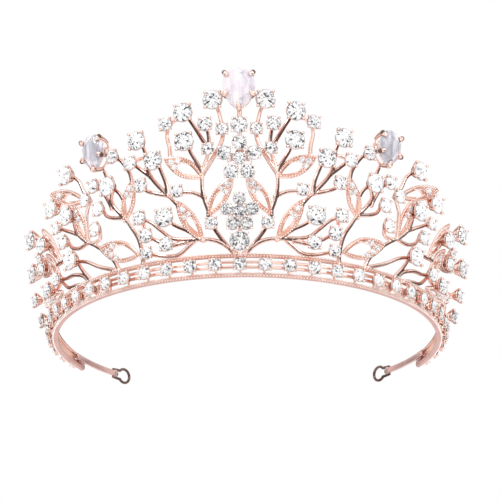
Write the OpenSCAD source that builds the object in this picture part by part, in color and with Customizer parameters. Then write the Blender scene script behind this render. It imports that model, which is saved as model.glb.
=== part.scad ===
// Bridal tiara: a ring-shaped band set with stones, a flared fan of branches,
// leaves and claw-set stones standing on it, and two short arms that end in pin loops.
// The band's lower face lies at z = 0, the front faces -Y, and both sides are alike.
// Band and fan lie on one wide cone that leans outwards.

/* [Band] */
// Outer radius of the band at its lower edge
band_r = 71; // [68:0.5:74]
// Height of the band from its lower to its upper face
band_h = 7.5; // [7.5:0.5:9]
// Half angle of the stone-set band, from the front to each end
band_half = 113; // [110:1:116]
// Half angle at which the band starts to get lower
taper_from = 78; // [72:1:84]
// Height of the band at its two ends
end_h = 5; // [4.5:0.25:6]
// Height of each rail
rail_h = 1.2; // [1:0.1:1.5]
// Radial depth of the lower rail
lower_rail_d = 1.8; // [1.7:0.1:2.6]
// Radial depth of the upper rail
upper_rail_d = 2; // [1.6:0.1:2.4]
// Angle between neighbouring stones of the band
band_pitch = 6.5; // [6.25:0.05:6.6]
// Number of band stones on each side of the middle one
band_side_stones = 17; // [12:1:17]
// Half angle of the front part, where thin bars join the band stones
open_half = 40; // [34:1:45]

/* [Fan] */
// Angle by which the band and the fan lean outwards
flare = 10.5; // [8:0.5:13]
// Thickness of the branches where they leave the band
stem_d = 1.6; // [1.4:0.1:1.9]
// Thickness of the twigs where they meet the settings
twig_d = 1.2; // [1.1:0.1:1.4]
// Width of the rim of each leaf
leaf_rim = 1.5; // [1.2:0.1:1.9]
// Thickness of the rim of each leaf
leaf_t = 1.2; // [0.8:0.1:1.6]

/* [Stones] */
// Diameter of the large round stones
big = 6.4; // [5.8:0.1:6.6]
// Diameter of the middle-sized round stones
mid = 4.7; // [4.3:0.1:4.8]
// Diameter of the small round stones
small = 4.1; // [3.7:0.1:4.2]
// Diameter of the smallest stones, set in the leaves
tiny = 1.9; // [1.6:0.1:2]
// Diameter of the stones along the band
band_stone = 4.4; // [4:0.1:4.5]
// Length of the pear-cut stone at the top
crown_pear_l = 14.5; // [13:0.5:15]
// Width of the pear-cut stone at the top
crown_pear_w = 11; // [9.5:0.5:11.5]
// Length of the pear-cut stone on each side
side_pear_l = 12.5; // [11:0.5:13]
// Width of the pear-cut stone on each side
side_pear_w = 9.5; // [8.5:0.5:10]

/* [Arms] */
// Angle from the front at which each arm ends
arm_end = 129; // [124:1:131]
// Height of the arm strip
arm_h = 2.2; // [2:0.1:2.4]
// Height of the middle of the arm above the table
arm_z = 3.7; // [3.4:0.1:3.8]
// Thickness of the arm strip
arm_t = 1; // [0.8:0.1:1.2]
// Diameter of the wire of the pin loops
wire_d = 1.1; // [0.9:0.1:1.3]
// Diameter of the hole in each pin loop
loop_hole = 4.4; // [4:0.1:5]

/* [Hidden] */

gold = "#e2a48c";
clear_stone = "#eef2f6";
milky_stone = "#d9cfe3";

// Length of the band's slanting wall, and how far inside its face the branches run
wall_h = band_h / cos(flare);
inset = 0.6;
// Middle radius of the arms, which lie against the inside of the upper rail
arm_r = band_r - 1.4 - arm_t / 2;
// Sides of the stem tubes, and rings drawn between two guide points
stem_sides = 5;
stem_steps = 2;
// Parts of a stone's height as fractions of its diameter
crown_k = 0.16;
pavilion_k = 0.4;
table_k = 0.58;

// The layout of the fan. A place is [angle from the front, height up the fan], and the
// right side is given; the left side is its mirror image. Stones are [angle, height,
// diameter, how far they stand out]. Leaves are [foot, tip, width, stones], and a leaf's
// stones are [fraction of the length from the foot, offset across, diameter].

INNER_STEMS = [
  [[1.5, 0], [3.5, 3], [6, 7.5], [7.5, 11], [8, 14.5], [9, 18.5], [9.5, 22.5], [9.5, 27.5]],
  [[9.5, 27], [10, 30], [12, 35], [13, 38.5]],
  [[9.5, 27], [8.5, 31.5], [7.5, 35.5]],
  [[9.5, 27], [6.5, 33], [4.5, 38], [4, 42], [4.5, 46], [5, 49], [6, 52]],
  [[7.5, 35.5], [8.5, 38], [10.5, 43], [12, 46.5], [13, 48.5]],
  [[7.5, 35.5], [7.5, 40], [8, 44]],
  [[17.5, 34], [17.5, 38], [18, 42], [17.5, 45.5]],
  [[17.5, 45.5], [15.5, 47.5], [13, 48.5]],
  [[9, 19.5], [12, 21.5], [15.5, 22]]
];
INNER_LEAVES = [
  [[8, 13.5], [2, 25.5], 5.5, [[0.84, 0, tiny + 0.3], [0.67, 1, tiny - 0.3], [0.67, -1, tiny - 0.3]]],
  [[9.5, 26.5], [18.5, 34], 6.5, [[0.84, 0.3, tiny + 0.3], [0.7, 1.2, tiny], [0.7, -1.2, tiny]]]
];
INNER_STONES = [
  [6, 52, big, 0],
  [4, 42, small, 0],
  [8, 44, mid, 0],
  [13, 48.5, big, 0],
  [17.5, 45.5, mid, 0],
  [7.5, 35.5, small, 0],
  [13, 38.5, big, 0],
  [15.5, 22, small, 0],
  [7, 10, small, 0.5]
];

LOW_STEMS = [
  [[1, 0], [4.5, 3.5], [7.5, 5], [11, 5.5], [17.5, 6.5], [21, 10], [23.5, 13], [26, 15]],
  [[11.5, 5.5], [14, 3], [16.5, 1], [20, 1], [24.5, 2.5]],
  [[11.5, 5.5], [16.5, 4.5], [19, 4.5], [21.5, 6], [24.5, 8.5]],
  [[26, 15], [26, 12], [24.5, 8.5]],
  [[10.5, 5.5], [13.5, 8.5], [17, 11], [19, 13.5]]
];
LOW_LEAVES = [];
LOW_STONES = [
  [26, 15, mid, 0],
  [24.5, 8.5, mid, 0],
  [24.5, 2.5, small, 0.5],
  [19, 4.5, mid, 0],
  [19, 13.5, big, 0]
];

FAN_STEMS = [
  [[9.5, 5], [12, 8], [14, 11], [15.5, 16.5], [18.5, 21.5]],
  [[18.5, 21.5], [22, 27], [23.5, 31], [24, 37], [25, 41.5]],
  [[18.5, 21.5], [19, 26], [20, 30], [21, 33.5]],
  [[18.5, 21.5], [22, 23], [24.5, 24.5], [25, 26]],
  [[23, 29], [25.5, 32], [27.5, 34.5]],
  [[27.5, 35.5], [26, 36], [24, 36]]
];
FAN_LEAVES = [
  [[10, 5], [16, 18.5], 5.5, [[0.8, 0, tiny + 0.4], [0.64, 0.9, tiny - 0.3], [0.64, -0.9, tiny - 0.3]]]
];
FAN_STONES = [
  [25, 41.5, big, 0],
  [21, 33.5, big, 0],
  [27.5, 34.5, mid, 0],
  [25, 26, mid, 0]
];

MIDDLE_STEMS = [
  [[27, -1], [27, 3.5], [28, 9], [30, 13.5], [31.5, 17]],
  [[28.5, 28], [29, 32], [31, 36.5], [32.5, 38.5]],
  [[31.5, 17], [31.5, 22], [32.5, 25.5], [34.5, 28.5]],
  [[31.5, 17], [34, 20.5], [35.5, 24.5], [34.5, 28.5]],
  [[31.5, 17], [35, 18], [37.5, 19.5], [38.5, 22]],
  [[35.5, 21.5], [36.5, 24.5], [38, 28], [39.5, 30.5]],
  [[34.5, 28.5], [36, 32], [37, 35.5]]
];
MIDDLE_LEAVES = [
  [[31.5, 16], [28.5, 28.5], 5.5, [[0.84, 0, tiny + 0.3], [0.67, 1, tiny - 0.3], [0.67, -1, tiny - 0.3]]]
];
MIDDLE_STONES = [
  [32.5, 38.5, mid, 0],
  [34.5, 28.5, big, 0],
  [39.5, 30.5, mid, 0],
  [38.5, 22, mid, 0]
];

SIDE_STEMS = [
  [[35, -0.5], [36.5, 3.5], [39.5, 7.5], [42.5, 10.5], [45.5, 13]],
  [[45.5, 13], [48.5, 16], [50.5, 20], [51, 24.5]],
  [[49, 17], [52.5, 19.5], [55.5, 21.5], [57.5, 23]],
  [[45.5, 13], [49.5, 12.5], [53, 14], [54.5, 16.5]],
  [[45.5, 13], [45.5, 18], [45, 23], [43, 27]],
  [[44, 12], [41, 12.5], [40.5, 15.5]],
  [[43, 27], [45, 31], [46.5, 35.5], [49, 38.5]],
  [[53, 34], [56, 32], [58, 30.5]]
];
SIDE_LEAVES = [
  [[40.5, 9], [28, 3], 7.5, [[0.2, -0.5, tiny], [0.32, -1.6, tiny], [0.46, -2.4, tiny], [0.3, 1.4, tiny]]],
  [[45.5, 13], [50, 28.5], 5, [[0.78, 0, tiny + 0.4], [0.62, 0, tiny]]],
  [[44.5, 27.5], [60, 37], 5.5, [[0.72, 0, tiny + 0.8]]]
];
SIDE_STONES = [
  [43, 27, mid, 0],
  [40.5, 15.5, mid, 0],
  [49, 38.5, big, 0],
  [51, 24.5, big, 0],
  [58, 30.5, big, 0],
  [57.5, 23, small, 0],
  [54.5, 16.5, mid, 0]
];

REAR_STEMS = [
  [[47, -0.5], [49.5, 2.5], [54, 4.5], [58, 5], [61.5, 6]],
  [[50, -0.5], [53.5, 0.5], [58, 1.5], [61.5, 5]],
  [[36, 0], [42, 3], [47, 6.5], [51.5, 8.5]],
  [[46, -0.5], [49.5, 4.5], [51.5, 8.5]],
  [[51.5, 8.5], [56, 11], [61, 12], [66, 12.5], [70.5, 14]],
  [[66, 12.5], [74, 13.5], [82, 17], [88, 21]],
  [[64, 18.5], [66, 20.5], [67.5, 21.5]],
  [[67.5, 21.5], [72.5, 25], [77, 28.5]],
  [[61.5, 6], [64, 5], [67, 4]],
  [[67, 4], [76, 6], [86.5, 9.5]],
  [[86.5, 9.5], [89.5, 8], [91, 3.5], [91.5, -1]],
  [[70.5, 14], [72, 17], [74, 19.5]]
];
REAR_LEAVES = [
  [[60, 12], [71.5, 29.5], 5.5, [[0.6, 0, tiny + 0.4], [0.74, 0, tiny]]],
  [[72, 13.5], [85, 25.5], 5, [[0.55, 0, tiny + 0.4], [0.74, 0, tiny]]],
  [[60, 0.5], [81, 4.5], 4.5, [[0.5, 0, tiny + 0.4], [0.66, 0, tiny], [0.8, 0, tiny]]],
  [[62, 7.5], [71, 19.5], 5, [[0.62, 0, tiny + 0.2]]],
  [[74, 1], [90, 11.5], 5.5, [[0.5, 0, tiny + 0.4], [0.66, 0, tiny]]]
];
REAR_STONES = [
  [77, 28.5, big, 1],
  [67.5, 21.5, big - 0.4, 0.5],
  [51.5, 8.5, big, 0],
  [61.5, 6, mid, 0],
  [67, 4, big - 1, 1],
  [74, 19.5, small - 0.6, 0.5],
  [70.5, 14, mid, 1],
  [88, 21, big, 1.5],
  [86.5, 9.5, mid, 2.5],
  [91, 3.5, mid, 1.5]
];

UPPER_FLOWER = [
  [0, 43, mid + 0.8, 0.5],
  [0, 37, mid, 0.5],
  [3.5, 33.5, mid, 0.5],
  [-3.5, 33.5, mid, 0.5],
  [0, 31.5, small, 1],
  [2, 27, mid, 0.5],
  [-2, 27, mid, 0.5]
];
LOWER_FLOWER = [
  [0, 18, small, 0.5],
  [3.1, 14.5, small, 0.5],
  [-3.1, 14.5, small, 0.5],
  [0, 13.5, small, 1],
  [1.7, 9.5, small, 0.5],
  [-1.7, 9.5, small, 0.5],
  [0, 3.5, big, 0.5]
];

CROWN_PEAR = [0, 55.5];
SIDE_PEAR = [37, 41.5];

// Point at angle t, at distance s up the wall of the band, standing out by out
function on_wall(t, s, out = 0) = [
  (band_r + s * sin(flare) + out * cos(flare)) * sin(t),
  -(band_r + s * sin(flare) + out * cos(flare)) * cos(t),
  s * cos(flare) - out * sin(flare)
];
// Point of the fan at angle t and height h above the band
function on_fan(t, h) = on_wall(t, wall_h + h, -inset);
// Outward direction of the wall at angle t
function outward(t) = [cos(flare) * sin(t), -cos(flare) * cos(t), -sin(flare)];
function unit(v) = v / norm(v);
function mix(a, b, u) = a * (1 - u) + b * u;
// Millimetres across the fan for a step of dt degrees at height h
function across(dt, h) = (band_r + (wall_h + h) * sin(flare)) * dt * PI / 180;

// Smooth curve through a list of places
function pick(p, i) = p[max(0, min(len(p) - 1, i))];
function bend(a, b, c, d, u) =
  0.5 * (2 * b + (c - a) * u + (2 * a - 5 * b + 4 * c - d) * u * u
    + (3 * b - a - 3 * c + d) * u * u * u);
function curve(p) = [
  for (i = [0 : len(p) - 2], j = [0 : stem_steps - 1])
    bend(pick(p, i - 1), p[i], p[i + 1], pick(p, i + 2), j / stem_steps),
  p[len(p) - 1]
];

// The band gets lower along a plane that slopes down towards the back
taper_y = -band_r * cos(taper_from);
slope = atan((band_h - end_h) / (-band_r * cos(band_half) - taper_y));
// Height of the band at angle t from the front
function band_top(t) =
  abs(t) < taper_from ? band_h : band_h + tan(slope) * (taper_y + band_r * cos(t));

// Outline of a pear-cut stone with its tip at the bottom, and a point of it
function pear_point(l, w, a) = [w / 1.82 * sin(a) * pow(sin(a / 2), 0.3), -l / 2 * cos(a)];
function pear(l, w) = [for (a = [0 : 12 : 348]) pear_point(l, w, a)];

// Moves to a place on the wall, with Z outwards and Y up the wall
module at_wall(t, s, out = 0)
  rotate([0, 0, t])
    translate([0, -band_r - s * sin(flare) - out * cos(flare), s * cos(flare) - out * sin(flare)])
      rotate([90 + flare, 0, 0])
        children();

module on(t, h, out = 0)
  at_wall(t, wall_h + h, out - inset)
    children();

// Angle by which a stone at angle t turns back towards the front
function turn(t) = max(0, t - 40) / 2;

// Moves to the place of a stone, with Z along its axis
module at_stone(s)
  on(s[0], s[1])
    rotate([0, -turn(s[0]), 0])
      children();

// Tapered tube along places of the fan
module stem(places, d0, d1) {
  c = curve(places);
  n = len(c);
  p = [for (q = c) on_fan(q[0], q[1])];
  rings = [
    for (i = [0 : n - 1])
      let (
        along = unit(p[min(i + 1, n - 1)] - p[max(i - 1, 0)]),
        side = unit(cross(along, outward(c[i][0]))),
        lift = cross(side, along),
        r = mix(d0, d1, i / (n - 1)) / 2
      )
      for (k = [0 : stem_sides - 1])
        p[i] + r * (cos(360 * k / stem_sides) * side + sin(360 * k / stem_sides) * lift)
  ];
  skin = [
    for (i = [0 : n - 2], k = [0 : stem_sides - 1])
      let (
        a = i * stem_sides + k,
        b = i * stem_sides + (k + 1) % stem_sides
      )
      [a, b, b + stem_sides, a + stem_sides]
  ];
  foot = [for (k = [stem_sides - 1 : -1 : 0]) k];
  tip = [for (k = [0 : stem_sides - 1]) (n - 1) * stem_sides + k];
  polyhedron(rings, concat(skin, [foot, tip]));
}

// Moves to the middle of a leaf, with its length along Y
module on_leaf(leaf) {
  foot = leaf[0];
  tip = leaf[1];
  h = (foot[1] + tip[1]) / 2;
  on((foot[0] + tip[0]) / 2, h, 0.2)
    rotate([0, 0, -atan2(across(tip[0] - foot[0], h), tip[1] - foot[1])])
      children();
}

function leaf_length(leaf) =
  let (h = (leaf[0][1] + leaf[1][1]) / 2)
  norm([across(leaf[1][0] - leaf[0][0], h), leaf[1][1] - leaf[0][1]]);

// Pointed oval with straight facets, l long and w wide
module oval(l, w) {
  steps = 7;
  half = [for (i = [0 : steps]) [w / 2 * sin(180 * i / steps), (i / steps - 0.5) * l]];
  polygon(concat(half, [for (i = [steps - 1 : -1 : 1]) [-half[i][0], half[i][1]]]));
}

// The opening of a leaf lies towards its foot, or towards its tip if the stones are at the foot
function opening_side(leaf) = leaf[3][0][0] > 0.45 ? -1 : 1;

// Rim of a leaf, and a short bridge under each of its stones
module leaf_frame(leaf) {
  l = leaf_length(leaf);
  w = leaf[2];
  on_leaf(leaf) {
    translate([0, 0, -leaf_t / 2])
      linear_extrude(leaf_t)
        difference() {
          oval(l + 2, w);
          translate([0, opening_side(leaf) * 0.14 * l])
            oval(0.66 * l, w - 2 * leaf_rim);
        }
    for (s = leaf[3])
      let (
        y = (s[0] - 0.5) * l,
        x = w / 2 * sin(180 * s[0]) - leaf_rim / 2
      )
      hull()
        for (e = [s[1] > 0 ? s[1] : -x, s[1] < 0 ? s[1] : x])
          translate([e, y, -leaf_t / 2 + 0.2])
            cylinder(d = s[2] * 0.8, h = leaf_t - 0.3, $fn = 4);
  }
}

module branch(stems, leaves)
  union() {
    for (s = stems)
      stem(s, len(s) > 4 ? stem_d : twig_d + 0.3, twig_d);
    for (f = leaves)
      leaf_frame(f);
    for (s = stems)
      knuckle(s[0]);
  }

// Rounded swelling where a stem leaves another
module knuckle(place)
  on(place[0], place[1])
    hull()
      for (a = [0, 90])
        rotate([0, a, 0])
          cylinder(d = stem_d + 0.1, h = stem_d, center = true, $fn = 5);

// Round stone with its lower point at z = 0
module round_stone(d) {
  cylinder(d1 = 0.3, d2 = d, h = pavilion_k * d, $fn = 24);
  translate([0, 0, pavilion_k * d])
    cylinder(d = d, h = 0.2, $fn = 24);
  translate([0, 0, pavilion_k * d + 0.2])
    cylinder(d1 = d, d2 = table_k * d, h = crown_k * d, $fn = 24);
}

// Cup and four claws of a round stone
module round_cup(d) {
  seat = 0.4;
  top = seat + pavilion_k * d;
  collar = 0.4;
  claw = d > 5 ? 1 : 0.8;
  difference() {
    union() {
      cylinder(d1 = 0.6 * d, d2 = d + 0.5, h = top - collar, $fn = 24);
      translate([0, 0, top - collar])
        cylinder(d = d + 0.5, h = collar, $fn = 24);
    }
    translate([0, 0, seat])
      cylinder(d1 = 0.3, d2 = d, h = pavilion_k * d, $fn = 24);
  }
  for (a = [45 : 90 : 315])
    rotate([0, 0, a])
      translate([d / 2 + claw / 2 + 0.02, 0, top]) {
        translate([0, 0, 0.1 - collar])
          cylinder(d = claw, h = collar + 0.4, $fn = 16);
        translate([0, 0, 0.5])
          sphere(d = claw + 0.1, $fn = 16);
      }
}

module cups(stones)
  for (s = stones)
    at_stone(s)
      translate([0, 0, 0.6 + s[3]])
        round_cup(s[2]);

// Short posts that carry the stones standing further out
module posts(stones)
  for (s = stones)
    if (s[3] > 0)
      at_stone(s)
        cylinder(d = 0.5 * s[2], h = 0.7 + s[3], $fn = 16);

module gems(stones)
  for (s = stones)
    at_stone(s)
      translate([0, 0, 1 + s[3]])
        round_stone(s[2]);

module leaf_gems(leaves)
  for (f = leaves)
    on_leaf(f)
      for (s = f[3])
        translate([s[1], (s[0] - 0.5) * leaf_length(f), leaf_t / 2])
          cylinder(d1 = s[2], d2 = 0.6 * s[2], h = 0.3 * s[2], $fn = 16);

module settings(stones) {
  cups(stones);
  posts(stones);
}

module jewels(stones, leaves) {
  gems(stones);
  leaf_gems(leaves);
}

module flower_back(h, r)
  on(0, h, -0.2)
    cylinder(r = r, h = 1.2, $fn = 32);

module pear_stone(l, w) {
  hull() {
    translate([0, 0, -0.35 * w])
      linear_extrude(0.1)
        polygon(pear(0.25 * l, 0.2 * w));
    linear_extrude(0.1)
      polygon(pear(l, w));
  }
  linear_extrude(0.6)
    polygon(pear(l, w));
  hull() {
    translate([0, 0, 0.5])
      linear_extrude(0.1)
        polygon(pear(l, w));
    translate([0, 0, 0.5 + 0.14 * w])
      linear_extrude(0.1)
        polygon(pear(0.62 * l, 0.62 * w));
  }
}

// Two open rails and five claws that hold a pear-cut stone
module pear_setting(l, w) {
  low = -0.36 * w - 0.6;
  for (k = [[-0.9, 0.98], [low, 0.9]])
    translate([0, 0, k[0]])
      linear_extrude(0.8)
        difference() {
          polygon(pear(k[1] * l, k[1] * w));
          polygon(pear(k[1] * l - 2.4, k[1] * w - 2));
        }
  for (a = [0, 70, 130, 230, 290])
    translate(pear_point(l + 0.2, w + 0.2, a)) {
      translate([0, 0, low])
        cylinder(d = 1.2, h = 1.2 - low, $fn = 16);
      translate([0, 0, 1.2])
        sphere(d = 1.8, $fn = 16);
    }
  translate([-0.4 * w, 0.06 * l, low])
    cube([0.8 * w, 1, 0.8]);
  translate([0, 0.06 * l + 0.5, low - 1.2])
    cylinder(d = 2.2, h = 1.6, $fn = 16);
}

// Part of a leaning ring: depth inside the face, distances up the wall, start and end angles
module ring(d0, d1, s0, s1, a0, a1)
  rotate([0, 0, a0 - 90])
    rotate_extrude(angle = a1 - a0, $fn = 180)
      translate([band_r, 0])
        rotate(-flare)
          translate([-d1, s0])
            square([d1 - d0, s1 - s0]);

// The space above a plane that slopes down with the rear of the band, lowered by drop
module above_slope(drop, tall)
  translate([0, taper_y, band_h - drop])
    rotate([-slope, 0, 0])
      translate([-2 * band_r, -5, 0])
        cube([4 * band_r, band_r, tall]);

module bottom_rail() {
  color(gold) {
    rotate([0, 0, -band_half - 90])
      rotate_extrude(angle = 2 * band_half, $fn = 180)
        polygon([
          [band_r - 1.2, 0],
          [band_r, 0],
          [band_r + rail_h * sin(flare), rail_h * cos(flare)],
          [band_r + rail_h * sin(flare) - lower_rail_d, rail_h * cos(flare) + 0.4],
          [band_r - lower_rail_d, 0.4]
        ]);
    for (t = [-band_half - 0.2, band_half + 0.2])
      at_wall(t, end_h / 2, -0.9)
        cylinder(d = end_h, h = 0.9, $fn = 32);
  }
}

module top_rail() {
  color(gold) {
    ring(0, upper_rail_d, wall_h - rail_h, wall_h, -taper_from, taper_from);
    for (s = [0, 1])
      mirror([s, 0, 0])
        difference() {
          ring(0, upper_rail_d, 2, wall_h, taper_from - 0.1, band_half - 1);
          above_slope(0, 10);
          above_slope(rail_h + 10, 10);
        }
  }
}

module band_web() {
  color(gold) {
    for (s = [0, 1])
      mirror([s, 0, 0])
        difference() {
          ring(0.8, 1.6, rail_h + 0.2, wall_h - rail_h, open_half, band_half - 5.5);
          above_slope(rail_h, 10);
        }
    for (y = [-0.6, 1.1])
      ring(0.5, 1.4, wall_h / 2 + y - 0.5, wall_h / 2 + y + 0.5, -open_half - 0.5, open_half + 0.5);
    for (i = [-6 : 6])
      at_wall(i * band_pitch, rail_h - 0.1, -1.3)
        translate([-0.4, 0, 0])
          cube([0.8, wall_h / 2 - rail_h - 0.6, 0.7]);
  }
}

// Distance up the wall and diameter of the band stone at angle t
function band_mid(t) = band_top(t) / 2 / cos(flare);
function band_stone_d(t) = min(band_stone, band_top(t) - 2 * rail_h + 0.6);

module band_cups() {
  color(gold)
    for (i = [-band_side_stones : band_side_stones])
      let (
        t = i * band_pitch,
        d = band_stone_d(t)
      )
      at_wall(t, band_mid(t), -0.6)
        round_cup(d - 0.1);
}

module band_stones() {
  color(clear_stone)
    for (i = [-band_side_stones : band_side_stones])
      let (t = i * band_pitch)
      at_wall(t, band_mid(t), -0.2)
        round_stone(band_stone_d(t) - 0.1);
}

module arm() {
  r_in = arm_r - arm_t / 2;
  rotate([0, 0, band_half - 95])
    rotate_extrude(angle = arm_end - band_half + 5, $fn = 180)
      translate([r_in, arm_z - arm_h / 2])
        square([arm_t, arm_h]);
  at_arm(arm_end, arm_z, r_in)
    cylinder(d = arm_h + 0.8, h = arm_t, $fn = 24);
}

// Moves to a place on an upright cylinder, with Z outwards
module at_arm(t, z, r)
  rotate([0, 0, t])
    translate([0, -r, z])
      rotate([90, 0, 0])
        children();

// Ring of wire with two legs that lie on the edges of the arm
module pin_loop() {
  r_mid = (loop_hole + wire_d) / 2;
  reach = r_mid + 2;
  at_arm(arm_end + reach * 180 / PI / arm_r, arm_z, arm_r) {
    rotate_extrude($fn = 48)
      translate([r_mid, 0])
        circle(d = wire_d, $fn = 20);
    for (s = [-1, 1])
      translate([-1.6, s * 1.7, 0])
        rotate([0, -90, 0])
          cylinder(d = wire_d - 0.2, h = 4.2, $fn = 20);
  }
}

module left_arm() color(gold) mirror([1, 0, 0]) arm();
module right_arm() color(gold) arm();
module left_pin_loop() color(gold) mirror([1, 0, 0]) pin_loop();
module right_pin_loop() color(gold) pin_loop();

module crown_pear_stone()
  color(milky_stone)
    on(CROWN_PEAR[0], CROWN_PEAR[1], 4.5)
      pear_stone(crown_pear_l, crown_pear_w);

module crown_pear_setting()
  color(gold) {
    on(CROWN_PEAR[0], CROWN_PEAR[1], 4.5)
      pear_setting(crown_pear_l, crown_pear_w);
    on(0, CROWN_PEAR[1] + 1.5, 0)
      rotate([90, 0, 0])
        cylinder(d = 1.5, h = 13, $fn = 16);
  }

module upper_flower_cups()
  color(gold) {
    settings(UPPER_FLOWER);
    flower_back(32, 4.2);
    on(0, 44, 0)
      rotate([90, 0, 0])
        cylinder(d = 1.6, h = 12, $fn = 16);
  }

module upper_flower_stones()
  color(clear_stone)
    gems(UPPER_FLOWER);

module lower_flower_cups()
  color(gold) {
    settings(LOWER_FLOWER);
    flower_back(13.5, 4);
    on(0, 12, 0)
      rotate([90, 0, 0])
        cylinder(d = 1.6, h = 12.4, $fn = 16);
  }

module lower_flower_stones()
  color(clear_stone)
    gems(LOWER_FLOWER);

module left_inner_branch() color(gold) mirror([1, 0, 0]) branch(INNER_STEMS, INNER_LEAVES);
module right_inner_branch() color(gold) branch(INNER_STEMS, INNER_LEAVES);
module left_inner_cups() color(gold) mirror([1, 0, 0]) settings(INNER_STONES);
module right_inner_cups() color(gold) settings(INNER_STONES);
module left_inner_stones() color(clear_stone) mirror([1, 0, 0]) jewels(INNER_STONES, INNER_LEAVES);
module right_inner_stones() color(clear_stone) jewels(INNER_STONES, INNER_LEAVES);

module left_low_branch() color(gold) mirror([1, 0, 0]) branch(LOW_STEMS, LOW_LEAVES);
module right_low_branch() color(gold) branch(LOW_STEMS, LOW_LEAVES);
module left_low_cups() color(gold) mirror([1, 0, 0]) settings(LOW_STONES);
module right_low_cups() color(gold) settings(LOW_STONES);
module left_low_stones() color(clear_stone) mirror([1, 0, 0]) jewels(LOW_STONES, LOW_LEAVES);
module right_low_stones() color(clear_stone) jewels(LOW_STONES, LOW_LEAVES);

module left_fan_branch() color(gold) mirror([1, 0, 0]) branch(FAN_STEMS, FAN_LEAVES);
module right_fan_branch() color(gold) branch(FAN_STEMS, FAN_LEAVES);
module left_fan_cups() color(gold) mirror([1, 0, 0]) settings(FAN_STONES);
module right_fan_cups() color(gold) settings(FAN_STONES);
module left_fan_stones() color(clear_stone) mirror([1, 0, 0]) jewels(FAN_STONES, FAN_LEAVES);
module right_fan_stones() color(clear_stone) jewels(FAN_STONES, FAN_LEAVES);

module left_middle_branch() color(gold) mirror([1, 0, 0]) branch(MIDDLE_STEMS, MIDDLE_LEAVES);
module right_middle_branch() color(gold) branch(MIDDLE_STEMS, MIDDLE_LEAVES);
module left_middle_cups() color(gold) mirror([1, 0, 0]) settings(MIDDLE_STONES);
module right_middle_cups() color(gold) settings(MIDDLE_STONES);
module left_middle_stones() color(clear_stone) mirror([1, 0, 0]) jewels(MIDDLE_STONES, MIDDLE_LEAVES);
module right_middle_stones() color(clear_stone) jewels(MIDDLE_STONES, MIDDLE_LEAVES);

module left_side_branch() color(gold) mirror([1, 0, 0]) branch(SIDE_STEMS, SIDE_LEAVES);
module right_side_branch() color(gold) branch(SIDE_STEMS, SIDE_LEAVES);
module left_side_cups() color(gold) mirror([1, 0, 0]) settings(SIDE_STONES);
module right_side_cups() color(gold) settings(SIDE_STONES);
module left_side_stones() color(clear_stone) mirror([1, 0, 0]) jewels(SIDE_STONES, SIDE_LEAVES);
module right_side_stones() color(clear_stone) jewels(SIDE_STONES, SIDE_LEAVES);

module left_rear_branch() color(gold) mirror([1, 0, 0]) branch(REAR_STEMS, REAR_LEAVES);
module right_rear_branch() color(gold) branch(REAR_STEMS, REAR_LEAVES);
module left_rear_cups() color(gold) mirror([1, 0, 0]) settings(REAR_STONES);
module right_rear_cups() color(gold) settings(REAR_STONES);
module left_rear_stones() color(clear_stone) mirror([1, 0, 0]) jewels(REAR_STONES, REAR_LEAVES);
module right_rear_stones() color(clear_stone) jewels(REAR_STONES, REAR_LEAVES);

module side_pear_setting()
  on(SIDE_PEAR[0], SIDE_PEAR[1], 4.5)
    pear_setting(side_pear_l, side_pear_w);

module side_pear_stone()
  on(SIDE_PEAR[0], SIDE_PEAR[1], 4.5)
    pear_stone(side_pear_l, side_pear_w);

module left_pear_setting() color(gold) mirror([1, 0, 0]) side_pear_setting();
module right_pear_setting() color(gold) side_pear_setting();
module left_pear_stone() color(milky_stone) mirror([1, 0, 0]) side_pear_stone();
module right_pear_stone() color(milky_stone) side_pear_stone();

bottom_rail();
top_rail();
band_web();
band_cups();
band_stones();
left_arm();
right_arm();
left_pin_loop();
right_pin_loop();
crown_pear_stone();
crown_pear_setting();
upper_flower_cups();
upper_flower_stones();
lower_flower_cups();
lower_flower_stones();
left_inner_branch();
right_inner_branch();
left_inner_cups();
right_inner_cups();
left_inner_stones();
right_inner_stones();
left_low_branch();
right_low_branch();
left_low_cups();
right_low_cups();
left_low_stones();
right_low_stones();
left_fan_branch();
right_fan_branch();
left_fan_cups();
right_fan_cups();
left_fan_stones();
right_fan_stones();
left_middle_branch();
right_middle_branch();
left_middle_cups();
right_middle_cups();
left_middle_stones();
right_middle_stones();
left_side_branch();
right_side_branch();
left_side_cups();
right_side_cups();
left_side_stones();
right_side_stones();
left_rear_branch();
right_rear_branch();
left_rear_cups();
right_rear_cups();
left_rear_stones();
right_rear_stones();
left_pear_setting();
right_pear_setting();
left_pear_stone();
right_pear_stone();
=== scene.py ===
import math

import bpy
import numpy as np
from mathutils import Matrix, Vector


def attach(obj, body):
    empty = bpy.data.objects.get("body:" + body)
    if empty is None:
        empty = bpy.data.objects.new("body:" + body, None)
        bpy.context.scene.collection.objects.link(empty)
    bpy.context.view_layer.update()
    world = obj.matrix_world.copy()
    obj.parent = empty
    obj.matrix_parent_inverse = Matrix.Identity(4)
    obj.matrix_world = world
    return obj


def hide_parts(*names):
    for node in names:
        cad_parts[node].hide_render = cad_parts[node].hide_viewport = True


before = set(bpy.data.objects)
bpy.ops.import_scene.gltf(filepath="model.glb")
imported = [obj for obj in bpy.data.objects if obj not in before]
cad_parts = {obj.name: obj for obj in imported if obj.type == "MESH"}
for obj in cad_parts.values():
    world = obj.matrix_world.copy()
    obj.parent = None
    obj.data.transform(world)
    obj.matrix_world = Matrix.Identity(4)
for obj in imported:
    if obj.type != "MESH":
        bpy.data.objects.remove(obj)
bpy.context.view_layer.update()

# Sizes of the CAD part, in millimetres and degrees
MM = 0.001
BAND_R, BAND_H, BAND_HALF = 71.0, 7.5, 113.0
TAPER_FROM, END_H = 78.0, 5.0
RAIL_H, LOWER_D, UPPER_D = 1.2, 1.8, 2.0
PITCH, BAND_SIDE, OPEN_HALF = 6.5, 17, 40.0
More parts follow.
